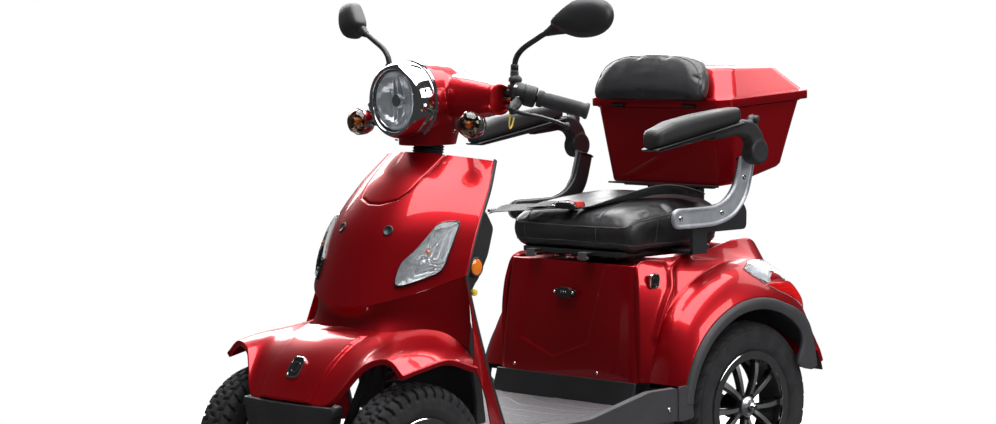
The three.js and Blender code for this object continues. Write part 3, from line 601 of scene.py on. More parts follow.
def softbox(name, centre, target, size, power, mirrored=True):
    """A rectangular lamp at centre that faces target; mirrored is whether glossy surfaces show it."""
    data = bpy.data.lights.new(name, "AREA")
    data.shape = "RECTANGLE"
    data.size, data.size_y = size
    data.energy = power
    light = bpy.data.objects.new(name, data)
    light.location = centre
    aim = Vector(target) - Vector(centre)
    light.rotation_mode = "QUATERNION"
    light.rotation_quaternion = aim.to_track_quat("-Z", "Y")
    light.visible_glossy = mirrored
    bpy.context.scene.collection.objects.link(light)


def set_studio():
    """A pale floor, a large overhead softbox, smaller ones behind and at the sides, and a white backdrop."""
    mesh = bpy.data.meshes.new("floor")
    rim = circle(1.9, 96)
    mesh.from_pydata(np.column_stack([rim, np.zeros(len(rim))]).tolist(), [], [tuple(range(len(rim)))])
    paint = Finish("studio_floor", (0.9, 0.9, 0.9), 0.9, Specular_IOR_Level=0.1)
    paint.vary_colour(paint.noise(3, 2), 0.01)
    mesh.materials.append(paint.material)
    floor = bpy.data.objects.new("floor", mesh)
    bpy.context.scene.collection.objects.link(floor)
    floor.visible_glossy = False
    softbox("overhead", (0.2, 0.1, 3.3), (0, 0, 0.4), (3.4, 3.2), 230)
    softbox("rear_fill", (-3.0, 2.3, 2.7), (0, 0, 0.6), (4.2, 2.2), 230)
    softbox("back_card", (0.2, 3.8, 3.0), (0, 0, 0.6), (3.6, 1.8), 55)
    softbox("left_card", (4.0, 1.7, 2.5), (0, 0.1, 0.5), (2.6, 1.8), 85)
    softbox("front_card", (-1.2, -4.4, 2.6), (0, 0, 0.6), (1.8, 1.6), 40, False)
    world = bpy.data.worlds.new("studio")
    world.use_nodes = True
    tree = world.node_tree
    tree.nodes["Background"].inputs["Color"].default_value = (1, 1, 1, 1)
    tree.nodes["Background"].inputs["Strength"].default_value = 0.04
    backdrop = tree.nodes.new("ShaderNodeBackground")
    backdrop.inputs["Color"].default_value = (1, 1, 1, 1)
    backdrop.inputs["Strength"].default_value = 1.0
    seen = tree.nodes.new("ShaderNodeLightPath")
    choice = tree.nodes.new("ShaderNodeMixShader")
    tree.links.new(seen.outputs["Is Camera Ray"], choice.inputs["Fac"])
    tree.links.new(tree.nodes["Background"].outputs["Background"], choice.inputs[1])
    tree.links.new(backdrop.outputs["Background"], choice.inputs[2])
    tree.links.new(choice.outputs["Shader"], tree.nodes["World Output"].inputs["Surface"])
    bpy.context.scene.world = world
    bpy.context.scene.view_settings.view_transform = "Standard"


set_camera()
set_studio()


# ---------- front body ----------
SHIELD_CENTRE = [(0, -510, 519), (0, -478, 605), (0, -440, 691), (0, -372, 778), (0, -280, 858)]
SHIELD_EDGE = [(247, -353, 592), (243, -332, 645), (234, -300, 708), (214, -250, 776), (182, -200, 840)]
LID_SEAM = [(-0.5, 1.0), (-0.44, 0.88), (-0.36, 0.74), (-0.28, 0.685), (-0.09, 0.655),
    (0.09, 0.655), (0.28, 0.685), (0.36, 0.74), (0.44, 0.88), (0.5, 1.0)]
SIDE_LAMP = [(0.895, 0.52), (0.745, 0.517), (0.705, 0.433), (0.63, 0.327), (0.54, 0.257),
    (0.53, 0.1), (0.62, 0.083), (0.845, 0.113), (0.865, 0.177)]
SHIELD_PLUGS = (0.335, 0.49)


def shield_surface(side, v):
    """Rows between a centre line and an edge line: depth goes with |side|^2.2 and height with side^2."""
    side, v = np.broadcast_arrays(side, v)
    middle = curve(SHIELD_CENTRE, v.ravel()).reshape(v.shape + (3,))
    edge = curve(SHIELD_EDGE, v.ravel()).reshape(v.shape + (3,))
    depth, lift = np.abs(side) ** 2.2, side ** 2
    return np.stack([edge[..., 0] * side, middle[..., 1] + (edge[..., 1] - middle[..., 1]) * depth,
        middle[..., 2] + (edge[..., 2] - middle[..., 2]) * lift], -1)


def nearest(p, places):
    """Distance from each point of p to the nearest of the places."""
    flat = p.reshape(-1, 3)
    best = np.full(len(flat), 1e9)
    for part in np.array_split(np.asarray(places, float), max(1, len(places) // 40)):
        best = np.minimum(best, np.linalg.norm(flat[:, None] - part[None], axis=2).min(1))
    return best.reshape(p.shape[:-1])


def grooved(p, seam, width=2.0, depth=4.5):
    """Presses a seam into the surface: the depth falls off with the square of the distance from it."""
    return p - normals(p) * (depth * np.exp(-(nearest(p, seam) / width) ** 2))[..., None]


def leg_shield():
    """The shield: shield_surface on a grid, grooved along the lid seam, with rolled edges."""
    side, v = np.meshgrid(steps(241, -1, 1), steps(151), indexing="ij")
    p = shield_surface(side, v)
    seam_line = line(LID_SEAM, steps(260))
    p = grooved(p, shield_surface(seam_line[:, 0], seam_line[:, 1]))
    form = shell(rolled(p, 7, 9, "uU"), 2.5)
    piece("leg_shield_panel", form, RED, "chassis", ["leg_shield"], sharp=50)
    plugs = []
    for lean in (-1, 1):
        place = shield_surface(np.array([lean * SHIELD_PLUGS[0]]), np.array([SHIELD_PLUGS[1]]))[0]
        ahead = (lean * 0.28, -0.82, 0.5)
        profile = [(13, -1), (13, 1.2), (11.5, 2.4), (9, 2.0), (8.5, 1.2)]
        plugs.append(turned(profile, place, ahead, 28))
    piece("shield_plugs", all_of(plugs), BLACK, "chassis", sharp=60)


def patch(outline, rows, surface, height, inset=1.0):
    """A disc of rings shrunk towards the outline's middle, lifted off the surface by height(ring)."""
    outline = np.asarray(outline, float)
    middle = outline.mean(0)
    ring = steps(rows, 0.02, inset)
    flat = middle + (outline - middle)[None] * ring[:, None, None]
    p = surface(flat[..., 0], flat[..., 1])
    du = surface(flat[..., 0] + 1e-3, flat[..., 1]) - p
    dv = surface(flat[..., 0], flat[..., 1] + 1e-3) - p
    n = unit(np.cross(du, dv))
    return p + n * height(ring)[:, None, None]


def side_lamp(side, name):
    """A reflector dish with flutes, an amber bulb, a gloss black bezel and a bulged clear lens."""
    outline = round_corners(SIDE_LAMP, 0.05, 5)
    flute = np.arange(len(outline))
    dish = patch(outline, 16, shield_surface, lambda r: 1.2 + 3.2 * r ** 3)
    wave = 1.3 * np.sin(steps(16, 0, 22))[:, None] * np.cos(flute * 1.9)[None]
    dish = dish + normals(dish) * wave[..., None]
    bezel_in = patch(outline, 2, shield_surface, lambda r: 4.0 + 0 * r, 0.99)[-1]
    bezel_top = patch(outline, 2, shield_surface, lambda r: 6.2 + 0 * r, 1.0)[-1]
    bezel_out = patch(outline, 2, shield_surface, lambda r: 3.6 + 0 * r, 1.045)[-1]
    bezel_foot = patch(outline, 2, shield_surface, lambda r: -1.0 + 0 * r, 1.05)[-1]
    bezel_under = patch(outline, 2, shield_surface, lambda r: -1.0 + 0 * r, 0.99)[-1]
    bezel = grid(np.stack([bezel_in, bezel_top, bezel_out, bezel_foot, bezel_under]),
        wrap_a=True, wrap_b=True, finish=1)
    back = patch(outline, 2, shield_surface, lambda r: -1.0 + 0 * r)
    dish_form = grid(np.concatenate([dish, back[-1:]]), wrap_b=True, ends=True)
    bulb_place = shield_surface(np.array([0.735]), np.array([0.3]))[0]
    bulb = ball(bulb_place + (4, -5, 4), (5, 4, 5), 16, finish=2)
    body = (dish_form + bezel + bulb).on(side)
    piece(f"side_lamp_dish_{name}", body, [REFLECTOR, GLOSS_BLACK, AMBER], "chassis", sharp=60)
    top = patch(outline, 12, shield_surface, lambda r: 5.2 + 5.5 * (1 - r ** 2.6), 0.985)
    under = patch(outline, 2, shield_surface, lambda r: 4.4 + 0 * r, 0.985)
    lens = grid(np.concatenate([top, under[-1:]]), wrap_b=True, ends=True)
    piece(f"side_lamp_lens_{name}", lens.on(side), CLEAR, "chassis", [f"side_lamp_{name}"], sharp=60)


HOOD_HALF = [(305, [(-591, 400), (-530, 412), (-458, 421), (-372, 394)]),
    (262, [(-594, 430), (-540, 440), (-470, 444), (-368, 432)]),
    (205, [(-612, 417), (-560, 440), (-500, 455), (-392, 470)]),
    (130, [(-664, 327), (-612, 396), (-556, 442), (-494, 470)]),
    (65, [(-672, 327), (-618, 402), (-560, 446), (-492, 472)]),
    (0, [(-674, 327), (-620, 405), (-562, 448), (-491, 473)]),]


def hood_surface(u, v):
    """Fore-and-aft curves at stations across the width, joined by a curve across them."""
    half = [[(x, y, z) for y, z in row] for x, row in HOOD_HALF]
    right = [[(-x, y, z) for x, y, z in row] for row in half]
    stations = np.array(right + half[:-1][::-1], float)
    along = np.stack([curve(row, v) for row in stations])
    return curve(along, u)


def apron_surface(u, v):
    """Straight rises from a foot line on the hood to a top line under the leg shield."""
    half_top = [(244, -351, 592), (200, -405, 567), (110, -475, 534)]
    half_foot = [(258, -352, 430), (205, -396, 468), (118, -490, 468)]
    whole = lambda half, middle: [(-x, y, z) for x, y, z in half] + [middle] + half[::-1]
    top = curve(whole(half_top, (0, -501, 520)), u)
    foot = curve(whole(half_foot, (0, -494, 470)), u)
    v = np.asarray(v)[None, :, None]
    hollow = 10 * np.sin(math.pi * v) * np.array((0, 1.0, 0))
    return foot[:, None] * (1 - v) + top[:, None] * v + hollow


LEG_EDGE = [(244, -351, 592), (250, -322, 470), (258, -286, 340), (266, -244, 208)]


def leg_panel():
    """From the apron's side down to the footboard, between a rear edge and the wheel-side lip."""
    lip = curve([(300, -380, 400), (297, -345, 330), (290, -322, 262), (284, -300, 208)], steps(60))
    back = curve(LEG_EDGE, steps(60))
    u = steps(16)[:, None, None]
    bulge = 6 * np.sin(math.pi * u) * np.array((0.6, 0.8, 0))
    return (back[None] * (1 - u) + lip[None] * u + bulge)[::-1]


def front_hood():
    """Hood and apron: their surfaces on grids, the hood raised 6 mm inside soft edges."""
    p = hood_surface(steps(281), steps(81))
    v = steps(81)[None]
    inside = smooth(88 + 18 * v - np.abs(p[..., 0]), -2.5, 2.5) * smooth(0.92 - v, 0, 0.12)
    p = p + normals(p) * (6 * inside)[..., None]
    hood = rolled(p, 4, 9, "uUv")
    apron = apron_surface(steps(161), steps(28))
    panel = shell(leg_panel()[::-1], -2.5)
    form = shell(hood, 2.5) + shell(apron, 2.5) + both(panel)
    piece("front_hood_panel", form, RED, "chassis", ["front_hood"], sharp=50)
    leg_edge = curve(LEG_EDGE, steps(60)) + (0, 3, 0)
    shield_edge = curve(SHIELD_EDGE, steps(60)) + (-1.5, 9, 0)
    strips = sweep(leg_edge, oval(5, 3.4, 3, 12), up=(1, 0, 0)) + sweep(shield_edge, oval(5, 3, 3, 12), up=(1, 0, 0))
    piece("front_edge_strips", both(strips), BLACK, "chassis", sharp=50)


leg_shield()
for lamp_name, lamp_side in SIDES:
    side_lamp(lamp_side, lamp_name)
front_hood()

# ---------- rear body ----------
ARCH_CENTRE = np.array((525.0, 212.0))
ARCH_R = 270
ARCH_SPAN = (16, 160)
SHOULDER = [(240, 226, 292), (239, 226, 390), (236, 228, 470), (228, 234, 530), (216, 248, 574), (214, 330, 583),
    (217, 420, 585), (219, 510, 597), (219, 600, 611), (214, 668, 600), (208, 704, 520), (206, 716, 340),]
CREASE = [(252, 240, 292), (254, 268, 390), (255, 306, 462), (256, 352, 503), (256, 410, 534), (256, 475, 556),
    (255, 540, 565), (254, 600, 566), (252, 660, 548), (250, 708, 500), (248, 728, 430), (246, 734, 330),]
SIDE_RIDGE = [(0.03, 0.53), (0.22, 0.40), (0.37, 0.273), (0.41, 0.182), (0.44, 0.10)]


def arch_point(degrees, radius, x):
    """Centre less the radius times the cosine along y, plus the radius times the sine in z."""
    angle = np.radians(np.asarray(degrees, float))
    y = ARCH_CENTRE[0] - radius * np.cos(angle)
    return np.stack([np.broadcast_to(x, angle.shape), y, ARCH_CENTRE[1] + radius * np.sin(angle)], -1)


def rear_surface(u, v):
    """u below a half: straight from shoulder to crease; above: a quadratic swell from crease to arch."""
    u, v = np.broadcast_arrays(np.asarray(u, float), np.asarray(v, float))
    flat = v.ravel()
    shoulder, crease = curve(SHOULDER, flat), curve(CREASE, flat)
    edge = arch_point(ARCH_SPAN[0] + (ARCH_SPAN[1] - ARCH_SPAN[0]) * flat, ARCH_R, 343.0)
    away = edge - np.array((0, *ARCH_CENTRE)) * (0, 1, 1)
    away = unit(away * (0, 1, 1))
    radius = np.linalg.norm((crease - edge * 0)[:, 1:] - ARCH_CENTRE, axis=1)[:, None]
    swell = edge + away * np.maximum(radius - ARCH_R, 0) * 0.86 - np.array((30.0, 0, 0))
    s = u.ravel()[:, None]
    a = np.clip(s * 2, 0, 1)
    b = np.clip(s * 2 - 1, 0, 1)
    side = shoulder * (1 - a) + crease * a
    fender = crease * (1 - b) ** 2 + 2 * swell * b * (1 - b) + edge * b ** 2
    return np.where(s < 0.5, side, fender).reshape(u.shape + (3,))


def eased(p, times, axis=0):
    """Softens the surface along one direction by averaging each row with its neighbours."""
    for _ in range(times):
        q = p.swapaxes(0, axis).copy()
        q[1:-1] = 0.25 * q[:-2] + 0.5 * q[1:-1] + 0.25 * q[2:]
        p = q.swapaxes(0, axis)
    return p


def rear_body(side, name):
    """One side: rear_surface on a grid, raised in a bell-shaped ridge along SIDE_RIDGE."""
    u = np.concatenate([steps(34, 0, 0.49), steps(56, 0.5, 1)])
    uu, vv = np.meshgrid(u, steps(201), indexing="ij")
    p = eased(rear_surface(uu, vv), 1)
    ridge_line = line(SIDE_RIDGE, steps(120))
    ridge = rear_surface(ridge_line[:, 0], ridge_line[:, 1])
    lift = 7 * np.exp(-(nearest(p, ridge) / 9) ** 2) * smooth(u, 0.0, 0.05)[:, None]
    p = p + normals(p) * lift[..., None] * smooth(0.5 - u, 0, 0.04)[:, None, None]
    form = shell(rolled(p, 5, 9, "uU"), 2.5)
    piece(f"rear_body_panel_{name}", form.on(side), RED, "chassis", [f"rear_body_{name}"], sharp=50)


TRIM_PROFILE = [(352.0, 240), (354.5, 244), (355.5, 254), (354.5, 264), (351, 268), (344.5, 268),
    (344.5, 262), (349, 250), (345, 240)]


def arch_trim(side, name):
    """A rubbery band round the arch that widens behind into a mudflap and ends in front in a foot."""
    degrees = steps(131, 8, 160)
    profile = np.asarray(TRIM_PROFILE, float)
    x = profile[None, :, 0] + 0 * degrees[:, None]
    outer = curve([(112, 268, 0), (131, 275, 0), (148, 253, 0), (160, 238, 0)], steps(60))
    inner = curve([(112, 240, 0), (128, 239, 0), (136, 230, 0), (148, 178, 0), (155, 190, 0), (160, 214, 0)], steps(90))
    top = np.interp(degrees, outer[:, 0], outer[:, 1])[:, None]
    low = np.interp(degrees, inner[:, 0], inner[:, 1])[:, None]
    radius = low + (profile[None, :, 1] - 240) / 28 * (top - low)
    angle = np.radians(degrees)[:, None]
    y = ARCH_CENTRE[0] - radius * np.cos(angle)
    z = ARCH_CENTRE[1] + radius * np.sin(angle)
    band = grid(np.stack([x, y, z], -1), wrap_b=True, ends=True)
    foot_line = round_corners([(236, 207), (290, 212), (284, 262), (276, 292), (237, 292)], 10)
    foot = prism("x", foot_line, 345.2, 352)
    piece(f"arch_trim_band_{name}", (band + foot).on(side), GREY, "chassis", [f"arch_trim_{name}"],
        bevel=1.2, sharp=40)
    liner_line = arch_point(steps(61, 14, 165), 262, 0)
    across = steps(9, 228, 345)
    liner = liner_line[None] * (0, 1, 1) + across[:, None, None] * np.array((1.0, 0, 0))
    inner = arch_point(steps(61, 14, 165), 262, 228.0)
    core = arch_point(steps(61, 14, 165), 60, 226.0)
    wall = inner[None] + (core - inner)[None] * steps(6, 0, 0.72)[:, None, None]
    liner_form = shell(liner, 2) + shell(wall, 2)
    piece(f"wheel_arch_liner_{name}", liner_form.on(side), BLACK, "chassis", sharp=50)


FIELD = [(-137, 575), (-158, 375), (-42, 335), (75, 376), (121, 575)]


def seat_box():
    """The front panel wraps round to both corners and has a shield-shaped field pressed into it."""
    line_points = [(-233, 223, 0), (-222, 213, 0), (-200, 210, 0), (-120, 208, 0), (0, 207, 0),
        (120, 208, 0), (200, 210, 0), (222, 213, 0), (233, 223, 0)]
    v = steps(121)[None, :]
    row = curve(line_points, steps(201))
    x = row[:, 0][:, None] * (1 - 0.085 * v)
    y = row[:, 1][:, None] + 22 * v ** 2
    z = 291 + 276 * v + 0 * x
    p = np.stack([x, y, z], -1)
    corners = np.array(FIELD, float)
    inside = np.ones_like(x)
    for (x0, z0), (x1, z1) in zip(corners[:-1], corners[1:]):
        length = math.hypot(x1 - x0, z1 - z0)
        inside = inside * smooth(((x1 - x0) * (z - z0) - (z1 - z0) * (x - x0)) / length, -2.5, 2.5)
    p = p + np.stack([0 * x, 3 * inside, 0 * x], -1)
    form = shell(rolled(p, 4, 8, "uUV"), 2.5)
    piece("seat_box_panel", form, RED, "chassis", ["seat_box_front"], sharp=50)
    plate = prism("y", round_corners([(-24, 484), (24, 484), (24, 500), (15, 508), (-15, 508), (-24, 500)], 4),
        206.5, 216)
    pins = all_of(rod((x, 204.5, 496), (x, 210, 496), 3, 12, 1) for x in (-8, 0, 8))
    lugs = all_of(screw((x, 207, 496), (0, -1, 0), 4.2, 1) for x in (-31, 31))
    ears = prism("y", round_corners([(-37, 489), (37, 489), (37, 503), (-37, 503)], 5), 209, 214)
    piece("charge_socket", (plate + pins + lugs + ears), [BLACK, CHROME], "chassis", bevel=0.6)
    heads = all_of(screw((x, 208.5, 306), (0, -1, 0), 4.5) for x in (-176, 110))
    piece("panel_screws", heads, CHROME, "chassis", sharp=50)


def rear_deck():
    """A profile carried across in x, sinking by 3 mm times the square of the place across."""
    profile = [(0, 240, 571), (0, 400, 572), (0, 590, 572), (0, 640, 598), (0, 672, 596), (0, 702, 540),
        (0, 712, 470), (0, 714, 340)]
    row = curve(profile, steps(120))
    across = steps(41, -1, 1)
    p = row[None] + across[:, None, None] * np.array((211.0, 0, 0))
    p = p + np.stack([0 * across, 0 * across, -3 * across ** 2], -1)[:, None]
    piece("rear_deck_panel", shell(rolled(p, 3, 4, "uU"), 2.5), RED, "chassis", ["rear_deck"], sharp=50)


def badge(name, middle, right, up, size, body):
    """A blank rounded badge: a bright rim round a dark plate with a ridge across it."""
    right, up = unit(right), unit(up)
    out = unit(np.cross(right, up))
    place = lambda flat, lift: (np.asarray(middle, float) + flat[:, :1] * right + flat[:, 1:] * up + lift * out)
    outline = oval(size[0], size[1], 4, 48)
    rim = grid(np.stack([place(outline, -4), place(outline, 2.2), place(outline * 0.95, 3.4),
        place(outline * 0.84, 3.0), place(outline * 0.82, 1.6), place(outline * 0.82, -4)]), wrap_a=True, wrap_b=True)
    plate = loft([place(outline * 0.81, -3), place(outline * 0.81, 1.4), place(outline * 0.6, 2.0),
        place(outline * 0.3, 2.4)], finish=1)
    ring = grid(np.stack([place(outline * s, h) for s, h in ((0.5, 1.0), (0.5, 3.0), (0.42, 3.0), (0.42, 1.0))]),
        wrap_a=True, wrap_b=True)
    piece(name, rim + plate + ring, [CHROME, GLOSS_BLACK], body, sharp=40)


def tail_lamp(side, name):
    """A clear upper lens and a red lower lens over a bright dish, on the fender's rear shoulder."""
    clear = round_corners([(0.686, 0.527), (0.57, 0.60), (0.51, 0.69), (0.60, 0.72), (0.70, 0.745),
        (0.886, 0.583), (0.79, 0.543)], 0.02, 4)
    red = round_corners([(0.896, 0.587), (0.705, 0.752), (0.71, 0.80), (0.76, 0.85), (0.87, 0.79), (0.93, 0.66)],
        0.02, 4)
    for label, outline, finish in (("clear", clear, CLEAR), ("red", red, RED_LENS)):
        dish = patch(outline, 10, rear_surface, lambda r: 0.8 + 1.6 * r ** 2)
        wave = 0.5 * np.sin(steps(10, 0, 18))[:, None] * np.cos(np.arange(len(outline)))[None]
        dish = dish + normals(dish) * wave[..., None]
        back = patch(outline, 2, rear_surface, lambda r: -2 + 0 * r)
        top = patch(outline, 12, rear_surface, lambda r: 3 + 7 * (1 - r ** 3))
        under = patch(outline, 2, rear_surface, lambda r: 2.6 + 0 * r)
        lens = grid(np.concatenate([top, under[-1:]]), wrap_b=True, ends=True)
        dish_form = grid(np.concatenate([dish, back[-1:]]), wrap_b=True, ends=True)
        piece(f"tail_lamp_dish_{label}_{name}", dish_form.on(side), REFLECTOR, "chassis", sharp=60)
        piece(f"tail_lamp_{label}_lens_{name}", lens.on(side), finish, "chassis",
            [f"tail_lamp_{name}"] if label == "red" else [], sharp=60)


for name, side in SIDES:
    rear_body(side, name)
    arch_trim(side, name)
    tail_lamp(side, name)
seat_box()
rear_deck()
badge("side_badge", (240.6, 272, 533), (0.05, 1, 0), (0.11, 0, 1), (15.5, 18), "chassis")
badge("hood_badge", (0, -638, 394), (1, 0, 0), (0, 0.56, 0.82), (22, 27), "chassis")


# ---------- wheels ----------
REAR_WHEEL = dict(tyre_r=210, bead_r=127.5, flange_r=138, half=45, x=290, y=525)
FRONT_WHEEL = dict(tyre_r=185, bead_r=102, flange_r=111, half=46, x=252, y=-520)
SPOKE_PAIRS = 5


def tyre_profile(tyre_r, bead_r, flange_r, half, count):
    """(radius, x) across the tyre from the inner bead, over the tread, to the outer bead."""
    bead = half - 11
    side = [(bead_r + 1, -bead), (flange_r + 2, -bead - 1), (flange_r + 13, 2.5 - half),
        (tyre_r - 32, 0.5 - half), (tyre_r - 15, 3 - half), (tyre_r - 4, -0.66 * half)]
    other = [(r, -x) for r, x in side[::-1]]
    return curve(side + [(tyre_r, 0)] + other, steps(count))


def groove_steps(phase, width):
    """1 on the block, 0 in the groove, for each phase in whole turns of the pattern."""
    away = np.abs((phase + 0.5) % 1 - 0.5)
    return smooth(away, width * 0.5, width * 0.5 + 0.05)


def tyre(wheel, blocky):
    """A profile turned about the axle, its tread cut in by a pattern of angle and width."""
    across, around = (96, 520) if blocky else (84, 420)
    profile = tyre_profile(wheel["tyre_r"], wheel["bead_r"], wheel["flange_r"], wheel["half"], across)
    turn = np.arange(around) / around
    x, radius = profile[:, 1][:, None], profile[:, 0][:, None]
    if blocky:
        row = x / 19.5
        zig = 0.16 * np.abs((turn * 40) % 1 - 0.5)[None]
        rows = groove_steps(row + 0.5 + zig, 0.17)
        shift = 0.5 * (np.floor(row + 0.5 + zig) % 2)
        bars = groove_steps(turn[None] * 40 + shift + 0.1 * np.sin(row * 3), 0.2)
        depth, tread = 6.0, smooth(radius, wheel["tyre_r"] - 34, wheel["tyre_r"] - 26)
    else:
        rows = np.minimum(groove_steps(x / 30 + 0.5, 0.1), groove_steps(x / 30 + 0.25 + 0 * turn[None], 0.07))
        slant = np.abs(x) / 52
        bars = groove_steps(turn[None] * 34 + slant, 0.14)
        bars = np.maximum(bars, smooth(8 - np.abs(x), 0, 3))
        depth, tread = 4.0, smooth(radius, wheel["tyre_r"] - 24, wheel["tyre_r"] - 16)
    block = np.minimum(rows, bars)
    drop = depth * (1 - block) * tread
    side_line = 1.2 * np.exp(-((radius - wheel["flange_r"] - 20) / 2.5) ** 2)
    edge = np.gradient(profile, axis=0)
    out = unit(np.stack([-edge[:, 1], edge[:, 0]], -1))
    out = out * np.where(out[:, :1] * 0 + (out[:, 0] * (profile[:, 0] - wheel["flange_r"])).sum() < 0, -1, 1)
    r = radius + out[:, :1] * (side_line - drop)
    along = x + out[:, 1:] * (side_line - drop)
    angle = 2 * math.pi * turn[None]
    p = np.stack([along, r * np.cos(angle), r * np.sin(angle)], -1)
    inside = [(wheel["bead_r"] + 1, wheel["half"] - 13), (wheel["bead_r"] + 1, 13 - wheel["half"])]
    barrel = np.stack([np.stack([x0 + 0 * turn, r0 * np.cos(angle[0]), r0 * np.sin(angle[0])], -1)
        for r0, x0 in inside])
    return grid(np.concatenate([p, barrel]), wrap_a=True, wrap_b=True)


def ring_x(profile, segments=96, finish=0):
    """A closed (radius, x) profile turned about the axle."""
    return turned(profile, (0, 0, 0), (1, 0, 0), segments, closed=True, finish=finish)


def spoke(angle_in, angle_out, r_in, r_out, x_out, finish):
    """A bar with a machined top and sloping sides, curved outwards from hub to rim."""
    t = steps(14)
    angle = angle_in + (angle_out - angle_in) * t ** 0.7
    radius = r_in + (r_out - r_in) * t
    crown = x_out + 7 * np.sin(math.pi * t * 0.9) - 3 * t
    middle = np.stack([crown, radius * np.cos(angle), radius * np.sin(angle)], -1)
    ahead = unit(np.gradient(middle, axis=0))
    side = unit(np.cross(ahead, (1, 0, 0)))
    width = (5.2 + 3.0 * t)[:, None]
    down = np.array((1.0, 0, 0))
    rows = [middle - side * width * 0.8, middle + side * width * 0.8, middle + side * width - down * 2,
        middle + side * width * 1.25 - down * 15, middle - side * width * 1.25 - down * 15,
        middle - side * width - down * 2]
    form = grid(np.stack(rows, 1), wrap_b=True, ends=True, finish=finish[1])
    for k in range(13):
        form.finish[k * 6] = finish[0]
    return form


def rim(wheel, finish):
    """Lipped barrel, hub and spoke pairs; finish names the lip, dark and machined materials."""
    bead, bead_r, flange_r = wheel["half"] - 11, wheel["bead_r"], wheel["flange_r"]
    lip, dark, face = finish
    deep = bead_r - 10
    outer_lip = ring_x([(deep, bead + 2), (deep + 1, bead + 5), (flange_r - 3, bead + 7.5),
        (flange_r, bead + 6), (flange_r, bead + 2.4), (bead_r, bead + 1.6), (bead_r - 4, bead - 6),
        (deep, bead - 4)], finish=lip)
    inner_lip = ring_x([(deep, -bead - 5), (flange_r - 2, -bead - 7), (flange_r, -bead - 5),
        (flange_r, -bead - 2.4), (bead_r, -bead - 1.6), (bead_r, bead - 4), (bead_r - 4, bead - 4),
        (deep, bead - 6)], finish=dark)
    hub = ring_x([(12, -36), (30, -36), (33, -28), (33, 8), (27, 20), (23, 27), (12, 27)], 48, dark)
    whole = outer_lip + inner_lip + hub
    for k in range(SPOKE_PAIRS):
        centre = math.radians(54.5 + 72 * k)
        for lean in (-1, 1):
            whole = whole + spoke(centre + lean * 0.16, centre + lean * 0.305, 24, deep + 3, 24, (face, dark))
        web = [(22, -0.42), (50, -0.20), (50, 0.20), (22, 0.42)]
        web_line = [(r * math.cos(centre + a), r * math.sin(centre + a)) for r, a in web]
        whole = whole + prism("x", web_line, 8, 25.5, dark)
    cap = turned([(24, 26), (25, 28), (21, 31), (17, 33), (16.5, 34)], (0, 0, 0), (1, 0, 0), 48, finish=face)
    nut = turned([(13.5, 33), (13.5, 43), (12, 45), (9, 46)], (0, 0, 0), (1, 0, 0), 6, finish=lip)
    end = turned([(8, 45), (8, 50), (6.5, 52)], (0, 0, 0), (1, 0, 0), 24, finish=lip)
    return whole + cap + nut + end


for end, wheel in (("rear", REAR_WHEEL), ("front", FRONT_WHEEL)):
    tyre_form = tyre(wheel, end == "front")
    rim_form = rim(wheel, (0, 1, 2))
    finishes = [CHROME, GLOSS_BLACK, MACHINED] if end == "rear" else [CHROME, SILVER, MACHINED]
    for name, side in SIDES:
        place = (side * wheel["x"], wheel["y"], wheel["tyre_r"])
        body = f"{end}_wheel_{name}"
        piece(f"{end}_tyre_tread_{name}", tyre_form.on(side).moved(place), TYRE, body, [f"{end}_tyre_{name}"],
            sharp=60)
        piece(f"{end}_wheel_rim_{name}", rim_form.on(side).moved(place), finishes, body,
            [f"{end}_rim_{name}"], sharp=40)


# ---------- floor, bumper and running gear ----------
def floor_pan():
    """The board, two skirts that rise to the seat box, sloping kerbs, and the ribbed mat."""
    skirt = round_corners([(-252, 206), (243, 210), (236, 289), (140, 289), (-60, 247), (-252, 243)], 10, 5)
    board = block((-320, -256, 208), (320, 208, 235))
    sides = both(prism("x", skirt, 328, 345))
    top = [(-252, 243), (-60, 247), (60, 262), (140, 286), (236, 289)]
    rise = curve([(0, y, z) for y, z in top], steps(40))
    flat = curve([(0, y, 235.6 + max(0, (y - 60) * 0.02)) for y, z in top], steps(40))
    t = steps(10)[:, None, None]
    slope = (rise * (0, 1, 1) + (331, 0, -1)) * (1 - t) + (flat + (262, 0, 0)) * t
    kerb = both(shell(slope[::-1], -2))
    riser = prism("x", [(188, 235), (207, 235), (212, 292), (206, 292)], -238, 238)
    form = board + sides + kerb
    piece("footboard", form, FLOOR_GREY, "chassis", bevel=2, sharp=40)
    piece("footboard_skirts", both(prism("x", skirt, 344.8, 348.5)), GREY, "chassis", ["floor_pan"],
        bevel=1.5, sharp=40)
    piece("footboard_riser", riser, BLACK, "chassis", bevel=2)
    heads = both(screw((348.5, 205, 240), (1, 0, 0), 6) + screw((348.5, -215, 226), (1, 0, 0), 6))
    piece("skirt_screws", heads, CHROME, "chassis", sharp=50)
    x, y = np.meshgrid(steps(191, -255, 255), steps(201, -235, 180), indexing="ij")
    edge = smooth(255 - np.abs(x), 0, 6) * smooth(y, -235, -229) * smooth(180 - y, 0, 6)
    wave = y + 26 * np.sin(x / 62.0) + 10 * np.cos(x / 31.0)
    ribs = 1.6 * (1 - groove_steps(wave / 62, 0.07))
    z = 236 + edge * (2.2 + ribs)
    mat = shell(np.stack([x, y, z], -1), 2)
    piece("footboard_mat", mat, MAT, "chassis", sharp=60)


